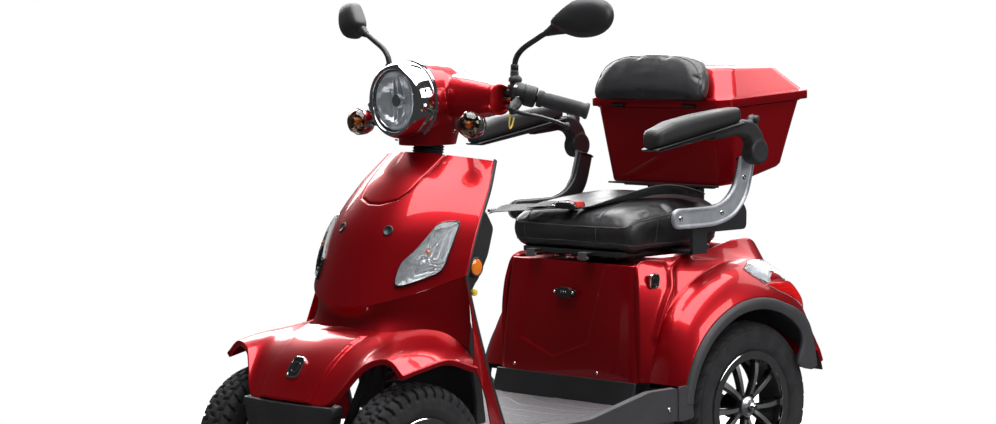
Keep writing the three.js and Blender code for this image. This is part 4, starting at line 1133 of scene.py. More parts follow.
def front_bumper():
    """A tapered bumper block with a proud band along its top."""
    outline = np.array([(-152, -628), (-156, -664), (-148, -672), (-80, -685), (0, -688), (80, -685),
        (148, -672), (156, -664), (152, -628)], float)
    dense = round_corners(outline, 12, 3)
    middle = np.array((0, -640.0))
    ring = lambda scale, z: np.column_stack([middle + (dense - middle) * scale, np.full(len(dense), float(z))])
    form = loft([ring(0.86, 238), ring(0.9, 241), ring(0.97, 292), ring(0.975, 299), ring(1.0, 301),
        ring(1.005, 313), ring(0.985, 319), ring(0.95, 320.5)])
    piece("front_bumper_cover", form, BLACK, "chassis", ["front_bumper"], sharp=30)


def coil(start, end, radius, wire, turns):
    """A helix of round wire between two ends."""
    start, end = np.asarray(start, float), np.asarray(end, float)
    side, up = frame_on(end - start)
    t = steps(int(turns * 18))
    angle = 2 * math.pi * turns * t
    path = start + (end - start) * t[:, None] + radius * (np.cos(angle)[:, None] * side + np.sin(angle)[:, None] * up)
    return sweep(path, circle(wire, 8), up=unit(end - start))


def front_shocks():
    """Two units: rods, spring seats and a coil, all on the line from foot to head."""
    for name, side in SIDES:
        foot, head = np.array((150, -506, 230.0)), np.array((140, -466, 405.0))
        axis = head - foot
        at = lambda s: foot + axis * s
        body = rod(at(-0.02), at(0.5), 10, 24) + rod(at(0.4), at(1.0), 6, 20, 1)
        body = body + rod(at(0.05), at(0.09), 18, 28) + rod(at(0.9), at(0.95), 18, 28)
        body = body + coil(at(0.09), at(0.9), 15, 3.2, 8)
        body = body + rod(at(-0.03) - (12, 0, 0), at(-0.03) + (12, 0, 0), 8, 20) + rod(
            at(1.0) - (12, 0, 0), at(1.0) + (12, 0, 0), 8, 20)
        piece(f"front_shock_unit_{name}", body.on(side), [DARK_STEEL, CHROME], "chassis",
            [f"front_shock_{name}"], sharp=45)


floor_pan()
front_bumper()
front_shocks()


# ---------- luggage box ----------
BOX_FRONT_Y = 541


BOX_BOTTOM_Y, BOX_BOTTOM_Z, BOX_BOTTOM_SLOPE = 574, 740, 0.2277
BOX_RIM_Z, BOX_RIM_SLOPE = 936, 0.055


def box_bottom(y):
    """Height of the box underside: a straight line in y."""
    return BOX_BOTTOM_Z + (y - BOX_BOTTOM_Y) * BOX_BOTTOM_SLOPE


def box_rim(y):
    """Height of the box rim: a straight line in y."""
    return BOX_RIM_Z + (y - BOX_FRONT_Y) * BOX_RIM_SLOPE


def box_ring(half, front, rear, chamfer, height, soften=9):
    """A level ring of eight corners, each softened, at the height that its y gives."""
    outline = [(-half + chamfer, front), (half - chamfer, front), (half, front + chamfer), (half, rear - chamfer),
        (half - chamfer, rear), (-half + chamfer, rear), (-half, rear - chamfer), (-half, front + chamfer)]
    flat = round_corners(outline, soften, 5)
    return np.column_stack([flat, [height(y) for y in flat[:, 1]]])


def box_body():
    """The box: rings that grow in a straight line from the low outline to the high one."""
    low = (207, 574, 805)
    high = (228, 543, 853)

    def ring(t, inset, drop, soften=9):
        half, front, rear = (a + (b - a) * t for a, b in zip(low, high))
        height = lambda y: box_bottom(y) * (1 - t) + box_rim(y) * t + drop
        return box_ring(half - inset, front + inset, rear - inset, 30, height, soften)
    outer = [ring(0, 14, 0), ring(0, 4, 0.5), ring(0, 0, 5)] + [ring(t, 0, 0) for t in steps(14, 0.04, 0.985)]
    outer += [ring(0.99, -3, 0), ring(1.0, -3, -1), ring(1.0, 4, -1)]
    inner = [ring(t, 4.5, 2) for t in steps(8, 0.96, 0.04)] + [ring(0.02, 16, 2)]
    form = loft(outer + inner)
    piece("luggage_box_body", form, RED, "chassis", ["luggage_box"], sharp=28)
    strip = sweep([(x, 566 - 0.00006 * x * x, 742) for x in steps(30, -185, 185)], oval(5, 3, 3, 12))
    piece("box_foot_strip", strip, BLACK, "chassis")
    latch = prism("y", round_corners([(-24, 902), (24, 902), (24, 944), (-24, 944)], 6), 852, 858)
    piece("box_latch_plate", latch + screw((0, 858, 915), (0, 1, 0), 7, 1), [BLACK, CHROME], "chassis",
        bevel=1)
    lamp = prism("y", round_corners([(-70, 850), (70, 850), (70, 872), (-70, 872)], 8), 834, 846)
    piece("box_rear_reflector", lamp, RED_LENS, "chassis", bevel=2)


def box_lid():
    """A rim band, a bevelled shoulder and a crowned top that falls away behind."""
    rim = lambda lift: (lambda y: box_rim(y) + lift)

    def slope(t, grow=0.0):
        half = 234 + (186 - 234) * t + grow
        front, rear = 536 + (586 - 536) * t - grow, 870 + (800 - 870) * t + grow
        return half, front, rear, 30 - 4 * t, lambda y: (box_rim(y) + 24) * (1 - t) + 1036 * t

    outer = [box_ring(236, 534, 871, 24, rim(1), 7), box_ring(237, 533, 872, 24, rim(3), 7),
        box_ring(237, 533, 872, 24, rim(21), 7), box_ring(235.5, 534.5, 871, 25, rim(23.5), 7),
        box_ring(229, 541, 865, 28, rim(24.5), 10)]
    outer += [box_ring(*slope(t, -4 + 3 * t), soften=18) for t in steps(12, 0.06, 0.93)]
    outer += [box_ring(184, 588, 797, 26, lambda y: 1033.5, 16), box_ring(178, 594, 790, 26, lambda y: 1036.5, 16),
        box_ring(150, 620, 765, 26, lambda y: 1037.5, 16), box_ring(80, 660, 730, 26, lambda y: 1038, 14)]
    piece("box_lid_shell", loft(outer), RED, "lid", ["box_lid"], sharp=28)
    hinge = all_of(rod((x - 22, 531, 941), (x + 22, 531, 941), 4.5, 16) for x in (-120, 120))
    piece("lid_hinges", hinge, DARK_STEEL, "lid")
    catch = prism("y", round_corners([(-16, 936), (16, 936), (16, 966), (-16, 966)], 5), 871, 879)
    piece("lid_catch", catch, BLACK, "lid", bevel=1.5)


def box_rack():
    """Two rails and three cross bars along the sloping underside, and the post with its gussets."""
    rail = all_of(pipe([(s * 60, 578, box_bottom(578) - 6), (s * 62, 690, box_bottom(690) - 6),
        (s * 60, 790, box_bottom(790) - 6)], 5.5, 20, 12) for s in (-1, 1))
    bars = all_of(sweep([(-150, y, box_bottom(y) - 6), (150, y, box_bottom(y) - 6)], oval(9, 3.5, 3, 16))
        for y in (590, 680, 770))
    post = prism("x", [(642, 601.5), (670, 599.5), (672, 752), (650, 748)], -46, 46)
    gusset = both(prism("x", round_corners([(642, 700), (700, 752), (600, 735)], 8), 30, 34))
    piece("box_rack_tubes", rail + bars + post + gusset, DARK_STEEL, "chassis", ["box_rack"],
        bevel=1.5, sharp=40)


box_body()
box_lid()
box_rack()


# ---------- upholstery ----------
def swollen(form, voxel, cap, pressure=4.0):
    """The form as filled cloth: remeshed, blown up by cloth pressure, no point moved past the cap."""
    mesh = bpy.data.meshes.new("pad_work")
    mesh.from_pydata(design(form.points).tolist(), [], form.faces)
    thing = bpy.data.objects.new("pad_work", mesh)
    bpy.context.scene.collection.objects.link(thing)
    remesh = thing.modifiers.new("remesh", "REMESH")
    remesh.mode = "VOXEL"
    remesh.voxel_size = voxel
    remesh.use_smooth_shade = True
    graph = bpy.context.evaluated_depsgraph_get()
    fine = bpy.data.meshes.new_from_object(thing.evaluated_get(graph))
    bpy.data.objects.remove(thing)
    start = np.empty(len(fine.vertices) * 3)
    fine.vertices.foreach_get("co", start)
    start = start.reshape(-1, 3)
    thing = bpy.data.objects.new("pad_work", fine)
    bpy.context.scene.collection.objects.link(thing)
    cloth = thing.modifiers.new("cloth", "CLOTH")
    cloth.settings.use_pressure = True
    cloth.settings.uniform_pressure_force = pressure
    cloth.settings.tension_stiffness = 14
    cloth.settings.compression_stiffness = 14
    cloth.settings.bending_stiffness = 0.6
    cloth.settings.effector_weights.gravity = 0
    cloth.settings.quality = 6
    for number in range(1, 21):
        bpy.context.scene.frame_set(number)
    graph = bpy.context.evaluated_depsgraph_get()
    blown = bpy.data.meshes.new_from_object(thing.evaluated_get(graph))
    bpy.data.objects.remove(thing)
    bpy.context.scene.frame_set(1)
    end = np.empty(len(blown.vertices) * 3)
    blown.vertices.foreach_get("co", end)
    move = end.reshape(-1, 3) - start
    length = np.linalg.norm(move, axis=1, keepdims=True)
    move = move * np.minimum(1, cap / np.maximum(length, 1e-9))
    fine.vertices.foreach_set("co", (start + move).ravel())
    return fine


def padded_piece(name, mesh, finish, body, replaced):
    """Puts a padded mesh on its body, one subdivision finer."""
    mesh.materials.clear()
    mesh.materials.append(finish)
    mesh.shade_smooth()
    thing = bpy.data.objects.new(name, mesh)
    mesh.name = name
    bpy.context.scene.collection.objects.link(thing)
    fine = thing.modifiers.new("fine", "SUBSURF")
    fine.levels = fine.render_levels = 1
    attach(thing, body)
    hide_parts(replaced)
    return thing


def seam_on(mesh, points, radius=1.5, count=120, sides=8, closed=False):
    """A sewn welt whose path is drawn near the pad and then dropped onto its nearest surface."""
    tree = BVHTree.FromPolygons([v.co for v in mesh.vertices], [p.vertices for p in mesh.polygons])
    path = curve(points + points[:1] if closed else points, steps(count))
    if closed:
        path = path[:-1]
    found = [tree.find_nearest(Vector(p))[0] for p in design(path)]
    places = np.array(found) * 1000 + (0, BASE_CENTRE_Y, 0)
    places = eased(places, 2)
    return sweep(places, circle(radius, sides), up=(0.02, 0.03, 1), wrap=closed)


def wedge(points):
    """Squeezes what lies above the cushion's middle, more and more towards the front edge."""
    p = np.array(points, float)
    crown = np.interp(p[:, 1], [212, 240, 300, 380, 480, 560], [676, 690, 705, 715, 722, 722])
    p[:, 2] = np.where(p[:, 2] > 630, 630 + (p[:, 2] - 630) * (crown - 630) / 92, p[:, 2])
    return p


def cushion_ring(half, front, rear, corner, z):
    """One ring of the seat: rounded corners in front, tighter ones behind."""
    flat = round_corners([(-half, rear), (-half, front + 20), (-half + 20, front), (half - 20, front),
        (half, front + 20), (half, rear)], corner, 8)
    bow = 10 * (flat[:, 0] / half) ** 2 * smooth(360 - flat[:, 1], 0, 150)
    return wedge(np.column_stack([flat[:, 0], flat[:, 1] + bow, np.full(len(flat), float(z))]))


def seat_cushion():
    """The cushion: stacked rings filled as cloth, with its seams laid on."""
    rings = [cushion_ring(188, 240, 548, 60, 601), cushion_ring(204, 222, 562, 60, 605),
        cushion_ring(210, 213, 568, 60, 618), cushion_ring(212, 207, 572, 60, 636),
        cushion_ring(212, 206, 572, 60, 662), cushion_ring(210, 208, 572, 60, 684),
        cushion_ring(205, 214, 568, 62, 698), cushion_ring(188, 236, 562, 64, 707),
        cushion_ring(160, 266, 548, 66, 714), cushion_ring(110, 310, 520, 60, 719),
        cushion_ring(50, 360, 470, 40, 721)]
    mesh = swollen(loft(rings), 0.006, 0.009)
    padded_piece("seat_cushion_cover", mesh, LEATHER, "seat", "seat_cushion")
    edge_line = [(-208, 560), (-209, 400), (-208, 262), (-190, 220), (-100, 210), (0, 208), (100, 210), (190, 220),
        (208, 262), (209, 400), (208, 560)]
    top_edge = wedge([(x, y, 697) for x, y in edge_line]).tolist()
    low_edge = [(x, y, 612) for x, y in edge_line]
    welts = seam_on(mesh, top_edge, 1.7, 220) + seam_on(mesh, low_edge, 1.3, 200)
    for x in (-148, 98):
        welts = welts + seam_on(mesh, [(x, 210, 664), (x, 204, 640), (x, 210, 612)], 1.3, 40)
        welts = welts + seam_on(mesh, [(x, 214, 676), (x * 1.02, 300, 708), (x * 1.02, 560, 722)], 1.1, 90)
    for s in (-1, 1):
        welts = welts + seam_on(mesh, [(s * 208, 330, 694), (s * 212, 322, 650), (s * 208, 318, 612)], 1.3, 40)
    piece("seat_seams", welts, THREAD, "seat", sharp=80)


def backrest_pad():
    """Rings carried from the lid side to the face, each the pad's outline shrunk towards its middle."""
    outline = np.array([(-184, 956), (-90, 951), (0, 950), (90, 951), (184, 956), (187, 985), (176, 1024),
        (150, 1054), (100, 1069), (0, 1073), (-100, 1069), (-150, 1054), (-176, 1024), (-187, 985)], float)
    dense = round_corners(outline, 24, 4)
    middle = np.array((0, 1006.0))

    def ring(scale, depth):
        flat = middle + (dense - middle) * scale
        lean = (flat[:, 1] - 950) / 120
        front = 497 + 40 * lean ** 1.6 * (lean > 0)
        back = 533 + 44 * np.clip(lean, 0, 1)
        return np.column_stack([flat[:, 0], front * (1 - depth) + back * depth, flat[:, 1]])
    rings = [ring(0.55, 1.0), ring(0.93, 1.0), ring(0.985, 0.9), ring(1.0, 0.66), ring(1.0, 0.4),
        ring(0.985, 0.16), ring(0.93, 0.03), ring(0.8, -0.05), ring(0.55, -0.12), ring(0.25, -0.15)]
    mesh = swollen(loft(rings), 0.005, 0.006)
    padded_piece("backrest_pad_cover", mesh, LEATHER, "lid", "backrest_pad")
    run = [(-178, 500, 972), (-170, 512, 1018), (-146, 524, 1042), (-96, 532, 1056), (0, 534, 1060),
        (96, 532, 1056), (146, 524, 1042), (170, 512, 1018), (178, 500, 972)]
    piece("backrest_seam", seam_on(mesh, run, 1.3, 160), THREAD, "lid", sharp=80)


def belt_uv(thing, length, rows, columns):
    """UV map of a band: u across its width, v along its length in tenths of a metre."""
    layer = thing.data.uv_layers.new(name="UVMap")
    loops = np.empty(len(thing.data.loops), int)
    thing.data.loops.foreach_get("vertex_index", loops)
    place = loops % (rows * columns)
    uv = np.stack([(place % columns) / max(columns - 1, 1), (place // columns) / rows * length], -1)
    layer.data.foreach_set("uv", uv.ravel())


def band(path, width, across, thickness=1.6):
    """A strap: width laid along the across direction at each point of the path."""
    path = np.asarray(path, float)
    across = unit(np.broadcast_to(np.asarray(across, float), path.shape))
    t = steps(7, -0.5, 0.5)
    p = path[:, None] + across[:, None] * (t * width)[None, :, None]
    return shell(p, thickness)


def strap(name, form, length, rows):
    """A webbing strap that rides on the seat."""
    thing = piece(name, form, WEBBING, "seat", sharp=60)
    belt_uv(thing, length, rows, 7)
    return thing


BUCKLE_SHIFT = (-30, -44, -41.5)


def lap_belt():
    """Two straps, the doubled-back tail and the closed buckle, lying over the front of the cushion."""
    left = curve([(208, 486, 726), (200, 466, 732), (170, 430, 742), (140, 394, 742), (108, 352, 731),
        (76, 312, 717), (44, 272, 705), (18, 252, 703)], steps(90))
    turn = steps(90)[:, None]
    across = unit(np.array((0.75, -0.55, 0.25)) * (1 - turn) + np.array((0.60, -0.80, -0.1)) * turn)
    lift = np.array((0.1, 0.1, 0.6)) * np.sin(np.pi * turn)
    strap("lap_belt_left", band(left, 44, across + lift), 4.0, 90)
    right = curve([(-30, 238, 704), (-60, 232, 702), (-110, 226, 698), (-160, 222, 695), (-200, 219, 692),
        (-226, 214, 690), (-240, 208, 686)], steps(90))
    across = np.array((0.12, 0.99, 0.28)) * (1 - turn) + np.array((0.1, 0.9, 0.4)) * turn
    strap("lap_belt_right", band(right, 44, across), 3.4, 90)
    back = curve([(-62, 233, 707), (-90, 230, 706), (-122, 226, 701)], steps(30))
    strap("lap_belt_tail", band(back, 42, (0.1, 1, 0.28)), 0.8, 30)
    corners = [(-6, 256), (56, 256), (60, 281), (56, 306), (-6, 306), (-9, 281)]
    flat = round_corners(corners, 9, 5)
    middle = flat.mean(0)
    ring = lambda s, z: np.column_stack([middle + (flat - middle) * s, np.full(len(flat), float(z))])
    shell_form = loft([ring(0.93, 740), ring(1, 742.5), ring(1.0, 750), ring(0.94, 755), ring(0.82, 757.5)])
    tongue = prism("z", round_corners([(-32, 262), (-8, 262), (-8, 300), (-32, 300)], 5), 744, 747, 1)
    slots = block((-27, 266, 742), (-21, 296, 749), 1)
    ridge = sweep([(2, 262, 757.5), (2, 300, 757.5)], oval(2, 1.5, 2, 10))
    tip = block((-247, 188, 682), (-238, 230, 690), 1)
    buckle = (shell_form + tongue + slots + ridge).moved(BUCKLE_SHIFT) + tip
    piece("belt_buckle", buckle, [GLOSS_BLACK, CHROME], "seat", ["lap_belt"], bevel=0.8, sharp=40)
    button = loft([np.column_stack([round_corners([(39, 267), (60, 267), (60, 295), (39, 295)], 4, 4) * s
        + (49.5 * (1 - s), 281 * (1 - s)), np.full(20, z)])
        for s, z in ((1, 745.0), (1, 757.5), (0.9, 759), (0.6, 759.4))])
    piece("belt_release_button", button.moved(BUCKLE_SHIFT), BUTTON, "belt_button", ["belt_button"],
        sharp=40)


def seat_base():
    """Tray under the cushion, its stiffening ribs and the two front hinges."""
    tray = prism("z", round_corners([(-172, 228), (172, 228), (172, 560), (-172, 560)], 24, 6), 588, 600)
    ribs = all_of(block((x - 3, 236, 582), (x + 3, 552, 589)) for x in steps(7, -150, 150))
    piece("seat_tray", tray + ribs, BLACK, "seat", ["seat_pan"], bevel=1.5, sharp=40)
    hinge = []
    for x in (-112, 66):
        hinge.append(block((x - 14, 206, 594), (x + 14, 240, 597)))
        hinge.append(block((x - 14, 204, 578), (x + 14, 207, 597)))
        hinge.append(rod((x - 18, 208, 583), (x + 18, 208, 583), 3.4, 16))
    piece("seat_hinges", all_of(hinge), CAST, "seat", bevel=0.8, sharp=40)


seat_cushion()
backrest_pad()
lap_belt()
seat_base()


# ---------- armrests ----------
ARM_PIVOT = (567, 833)
BRACKET_LINE = [(318, 681), (400, 681), (455, 684), (505, 702), (540, 738), (558, 785), (566, 815)]
ARM_LINE = [(566, 836), (560, 862), (540, 884), (505, 893), (450, 885), (400, 878)]


def track(points, half, count):
    """A strip outline: a smooth centre line (y, z) set out by half its width on both sides."""
    middle = curve([(*p, 0) for p in points], steps(count))[:, :2]
    ahead = unit(np.gradient(middle, axis=0))
    side = np.stack([-ahead[:, 1], ahead[:, 0]], -1)
    width = np.interp(steps(count), steps(len(half)), half)[:, None]
    start = unit(-ahead[:1])
    cap = [middle[0] + width[0] * (math.cos(a) * side[0] + math.sin(a) * start[0]) for a in steps(11, 0, math.pi)]
    return np.concatenate([(middle + side * width)[::-1], np.array(cap), (middle - side * width)])


def plate_x(outline, rings):
    """Stacked copies of a (y, z) outline: each ring is (x, width moved in)."""
    outline = np.asarray(outline, float)
    ahead = unit(np.roll(outline, -1, 0) - np.roll(outline, 1, 0))
    inward = np.stack([-ahead[:, 1], ahead[:, 0]], -1)
    area = (outline[:, 0] * np.roll(outline[:, 1], -1) - np.roll(outline[:, 0], -1) * outline[:, 1]).sum()
    inward = inward if area > 0 else -inward
    return [np.column_stack([np.full(len(outline), float(x)), outline + inward * d]) for x, d in rings]


def armrest_bracket(side, name):
    """A silver face with a raised border and sunk channel, over a black inner half, with three bolts."""
    line_out = track(BRACKET_LINE, (25, 25, 25, 27, 27, 26, 26), 60)
    face = ribbon(plate_x(line_out, [(276, 0.5), (281, 0), (284.2, 1.2), (285.6, 3.2), (285.6, 6.5),
        (283.4, 8.0), (282.2, 11)]))
    bolts = all_of(screw((281.5, y, z), (1, 0, 0), 6.5, 1) for y, z in ((322, 681), (470, 687), (552, 770)))
    base = ribbon(plate_x(line_out, [(266, 9), (267, 5), (270, 3), (276.2, 2)]), 2)
    inner_line = round_corners([(410, 640), (590, 640), (592, 690), (566, 716), (430, 700)], 14, 5)
    cover = loft(plate_x(inner_line, [(238, 8), (241, 2), (246, 0), (256, 0)]), 2)
    foot = block((172, 384, 590), (262, 436, 598), 2) + block((256, 384, 590), (264, 436, 690), 2)
    form = face + bolts + base + cover + foot
    piece(f"armrest_bracket_bar_{name}", form.on(side), [SILVER, CHROME, BLACK], "seat",
        [f"armrest_bracket_{name}"], sharp=18)


def blended(form, voxel, smoothing):
    """Joins overlapping forms into one skin and softens the corners between them."""
    mesh = bpy.data.meshes.new("blend_work")
    mesh.from_pydata(design(form.points).tolist(), [], form.faces)
    thing = bpy.data.objects.new("blend_work", mesh)
    bpy.context.scene.collection.objects.link(thing)
    remesh = thing.modifiers.new("remesh", "REMESH")
    remesh.mode = "VOXEL"
    remesh.voxel_size = voxel * 0.001
    soften = thing.modifiers.new("soften", "SMOOTH")
    soften.factor = 0.6
    soften.iterations = smoothing
    graph = bpy.context.evaluated_depsgraph_get()
    skin = bpy.data.meshes.new_from_object(thing.evaluated_get(graph))
    bpy.data.objects.remove(thing)
    points = np.empty(len(skin.vertices) * 3)
    skin.vertices.foreach_get("co", points)
    made = Form(points.reshape(-1, 3) * 1000 + (0, BASE_CENTRE_Y, 0), [tuple(p.vertices) for p in skin.polygons])
    return made.outward()


PAD_FRONT_Y, PAD_FRONT_Z, PAD_SLOPE = 186, 853, 0.178


def pad_base(y):
    """Height of the armrest pad underside: a straight line in y."""
    return PAD_FRONT_Z + (y - PAD_FRONT_Y) * PAD_SLOPE


def armrest(side, name):
    """A swan-necked arm turning about its disc, with a knob, and a moulded pad on top."""
    neck = ribbon(plate_x(track(ARM_LINE, (27, 25, 23, 20, 15, 12), 50), [(288, 6), (291, 1), (297, 0), (311, 0),
        (318, 1.5), (321.5, 6)]))
    disc = turned([(30, 0), (32, 3), (32, 33), (30, 36), (22, 37.2), (21, 36.2), (8, 36.4)],
        (286, *ARM_PIVOT), (1, 0, 0), 48)
    hump = ball((304, 556, 902), (15, 17, 22), 24)
    arm = blended(neck + disc + hump, 2.2, 7)
    tray_line = [(196, pad_base(196)), (500, pad_base(500)), (505, pad_base(500) - 7), (420, pad_base(420) - 15),
        (300, pad_base(300) - 12), (200, pad_base(200) - 9), (190, pad_base(190) - 3)]
    tray = loft(plate_x(round_corners(tray_line, 6, 4), [(274, 4), (277, 0), (327, 0), (330, 4)]))
    plug = turned([(9, 0), (9, 3), (6, 5)], (318, 556, 912), (1, 0, 0), 24)
    piece(f"armrest_arm_cover_{name}", (arm + tray + plug).on(side), BLACK, f"armrest_{name}",
        [f"armrest_arm_{name}"], sharp=60)
    stations = steps(60)
    y = 191 + 303 * stations
    top = np.interp(y, [190, 199, 260, 350, 440, 484, 494], [884, 897, 917, 931, 940, 943, 930])
    bottom = pad_base(y) + 0.4
    nose = np.sqrt(np.clip(1 - ((0.06 - stations) / 0.06).clip(0, 1) ** 2, 0.02, 1))
    tail = np.sqrt(np.clip(1 - ((stations - 0.95) / 0.05).clip(0, 1) ** 2, 0.02, 1))
    half = 31.5 * (0.86 + 0.14 * np.sin(math.pi * stations)) * (0.55 + 0.45 * np.minimum(nose, tail))
    section = oval(1, 1, 4.2, 40)
    middle = (top + bottom) / 2
    tall = (top - bottom) / 2
    p = np.stack([302 + half[:, None] * section[None, :, 0], y[:, None] + 0 * section[None, :, 0],
        middle[:, None] + tall[:, None] * section[None, :, 1]], -1)
    thing = piece(f"armrest_pad_cover_{name}", grid(p, wrap_b=True, ends=True).on(side), PAD,
        f"armrest_{name}", [f"armrest_pad_{name}"], sharp=60)


for name, side in SIDES:
    armrest_bracket(side, name)
    armrest(side, name)


# ---------- handlebar head ----------
BAR_RISE = np.array((0.0, 0.342, 0.940))
COLUMN_FOOT = np.array((0.0, -235.0, 850.0))
GRIP_START = np.array((258.0, -134.0, 982.0))
GRIP_END = np.array((350.0, -56.0, 949.0))
GRIP_AHEAD = unit(GRIP_END - GRIP_START)
LAMP_Z = 977


def on_column(height):
    """The foot of the column plus the rise times the height."""
    return COLUMN_FOOT + BAR_RISE * height


def along_grip(distance):
    """The start of the grip plus its direction times the distance."""
    return GRIP_START + GRIP_AHEAD * distance


ARM_ROOT_Y, ARM_ROOT_Z = -198, 979


def nacelle():
    """Lamp bucket, neck, arm roots and the ridge over the bars, blended into one painted cowl."""
    bucket = turned([(70, 0), (84, 0), (86, 20), (86.5, 50), (85, 85), (79, 118), (66, 146), (40, 162), (8, 166)],
        (0, -282, LAMP_Z), (0, 1, 0), 72)
    neck_rings = []
    for z, half, front, rear in ((873, 54, -300, -170), (893, 60, -296, -168), (915, 68, -288, -164),
            (945, 70, -278, -160), (975, 70, -268, -152)):
        outline = oval(half, (rear - front) / 2, 2.8, 48)
        neck_rings.append(np.column_stack([outline[:, 0], outline[:, 1] + (front + rear) / 2, np.full(48, z)]))
    form = bucket + loft(neck_rings)
    for s in (-1, 1):
        rows = []
        for x, y0, y1, z0, z1 in ((30, -250, -142, 930, 1038), (62, -256, -140, 926, 1035),
                (110, -247, -148, 931, 1029), (160, -238, -157, 938, 1021), (200, -230, -166, 945, 1013)):
            outline = oval((y1 - y0) / 2, (z1 - z0) / 2, 2.5, 44)
            rows.append(np.column_stack([np.full(44, s * x), outline[:, 0] + (y0 + y1) / 2,
                outline[:, 1] + (z0 + z1) / 2]))
        form = form + loft(rows).outward()
    brow = []
    for y, half, z in ((-236, 40, 1052), (-208, 52, 1052), (-180, 56, 1049), (-158, 52, 1040), (-144, 42, 1026)):
        outline = oval(half, 26, 2.6, 36)
        brow.append(np.column_stack([outline[:, 0], np.full(36, float(y)), outline[:, 1] + z - 24]))
    form = form + loft(brow)
    skin = blended(form, 2.6, 9)
    piece("nacelle_cowl", skin, RED, "handlebar", ["nacelle"], sharp=70)
    collars = []
    for s in (-1, 1):
        rows = []
        for x, grow in ((193, 0.5), (204.5, 0.5), (206.5, -1.0), (206.5, -5), (201, -7), (193, -7)):
            outline = oval(32.5 + grow, 35 + grow, 2.5, 44)
            rows.append(np.column_stack([np.full(44, s * x), outline[:, 0] + ARM_ROOT_Y, outline[:, 1] + ARM_ROOT_Z]))
        collars.append(grid(np.stack(rows), wrap_a=True, wrap_b=True))
    piece("nacelle_arm_rims", all_of(collars), RED, "handlebar", sharp=50)
    screws = screw((58, -286, 930), (0.72, -0.69, 0), 4.5) + screw((-34, -293, 893), (-0.35, -0.93, 0), 4.5)
    screws = screws + screw((66, -214, 905), (1, -0.1, 0), 4.5)
    piece("nacelle_screws", screws, CHROME, "handlebar", sharp=40)
    bellows = []
    for k in range(5):
        z = 846 + 6 * k
        bellows += [(33, z - 846), (37, z - 843), (33, z - 840)]
    boot = turned([(30, 0)] + bellows + [(30, 31)], (0, -236, 846), (0, 0.2, 0.98), 40)
    piece("column_boot", boot, GRIP, "handlebar", sharp=50)


def headlamp():
    """Profiles turned about the lamp axis; the bowl ripples with the size of the sine of 14 times its angle."""
    axis = (0, 1, 0)
    bezel = [(70.5, 12), (71, 4), (73, 0.5), (76, -0.6), (79, 1), (82.5, 6), (86, 16), (88, 30), (88.6, 46),
        (88, 58), (85.6, 60), (84.5, 52), (83, 34), (80, 18), (76, 13)]
    rim = turned(bezel, (0, -343, LAMP_Z), axis, 96, closed=True)
    gasket = turned([(68, 7), (71.5, 5.5), (72, 12), (68, 14)], (0, -343, LAMP_Z), axis, 80, closed=True)
    ring = turned([(87.2, 58.6), (90.2, 59.4), (90.2, 62.5), (86, 63)], (0, -343, LAMP_Z), axis, 96, closed=True)
    screw_low = screw((0, -330, LAMP_Z - 88), (0, -0.25, -1), 4)
    piece("headlamp_bezel", rim + ring + screw_low, CHROME, "handlebar", ["headlamp_rim"], sharp=50)
    piece("headlamp_gasket", gasket, BLACK, "handlebar", sharp=50)
    glass_profile = [(68.5, 8), (66, 3.4), (58, 0.6), (42, -2.2), (22, -4), (0.5, -4.6)]
    glass_back = [(0.5, -2.4), (22, -1.8), (42, 0), (58, 2.8), (65, 5.6), (66.5, 9)]
    dome = turned(glass_profile[::-1][:-1] + [(68.5, 8)] + glass_back[::-1], (0, -341, LAMP_Z), axis, 80)
    piece("headlamp_glass", dome, CLEAR, "handlebar", ["headlamp_lens"], sharp=60)
    bowl = [(67.5, 10), (67, 14), (62, 26), (52, 38), (40, 46), (26, 51), (15, 53), (13, 55), (26, 53.5),
        (41, 48.5), (53.5, 40), (64, 27.5), (69, 15), (69, 10)]
    dish = turned(bowl, (0, -343, LAMP_Z), axis, 96, closed=True)
    angle = np.arctan2(dish.points[:, 2] - LAMP_Z, dish.points[:, 0])
    radius = np.hypot(dish.points[:, 2] - LAMP_Z, dish.points[:, 0])
    dish.points[:, 1] += 1.1 * np.abs(np.sin(angle * 14)) * smooth(radius, 20, 40) * smooth(-radius, -66, -60)
    vanes = []
    for s in (-1, 1):
        for x in (12, 30, 47):
            tall = math.sqrt(62 ** 2 - x * x) * 0.92
            vanes.append(prism("x", [(-316 + x * 0.2, LAMP_Z - tall), (-313 + x * 0.2, LAMP_Z - tall),
                (-298, LAMP_Z - tall * 0.4), (-298, LAMP_Z + tall * 0.4),
                (-313 + x * 0.2, LAMP_Z + tall), (-316 + x * 0.2, LAMP_Z + tall)], s * x - 0.7, s * x + 0.7))
    bulb = ball((0, -312, LAMP_Z), (8.5, 13, 8.5), 24) + rod((0, -302, LAMP_Z), (0, -287, LAMP_Z), 10.5, 24)
    cap = turned([(4, -1), (14, 0), (17, 7), (15.6, 7.4), (12.6, 1.6), (4, 1)], (0, -329, LAMP_Z), axis, 32)
    legs = all_of(sweep([(14 * math.cos(a), -325, LAMP_Z + 14 * math.sin(a)),
        (30 * math.cos(a), -296, LAMP_Z + 30 * math.sin(a))], circle(1.4, 8)) for a in (0.6, 2.7, 4.7))
    piece("headlamp_reflector", dish + all_of(vanes), REFLECTOR, "handlebar", sharp=30)
    piece("headlamp_bulb", bulb + cap + legs, CHROME, "handlebar", sharp=50)


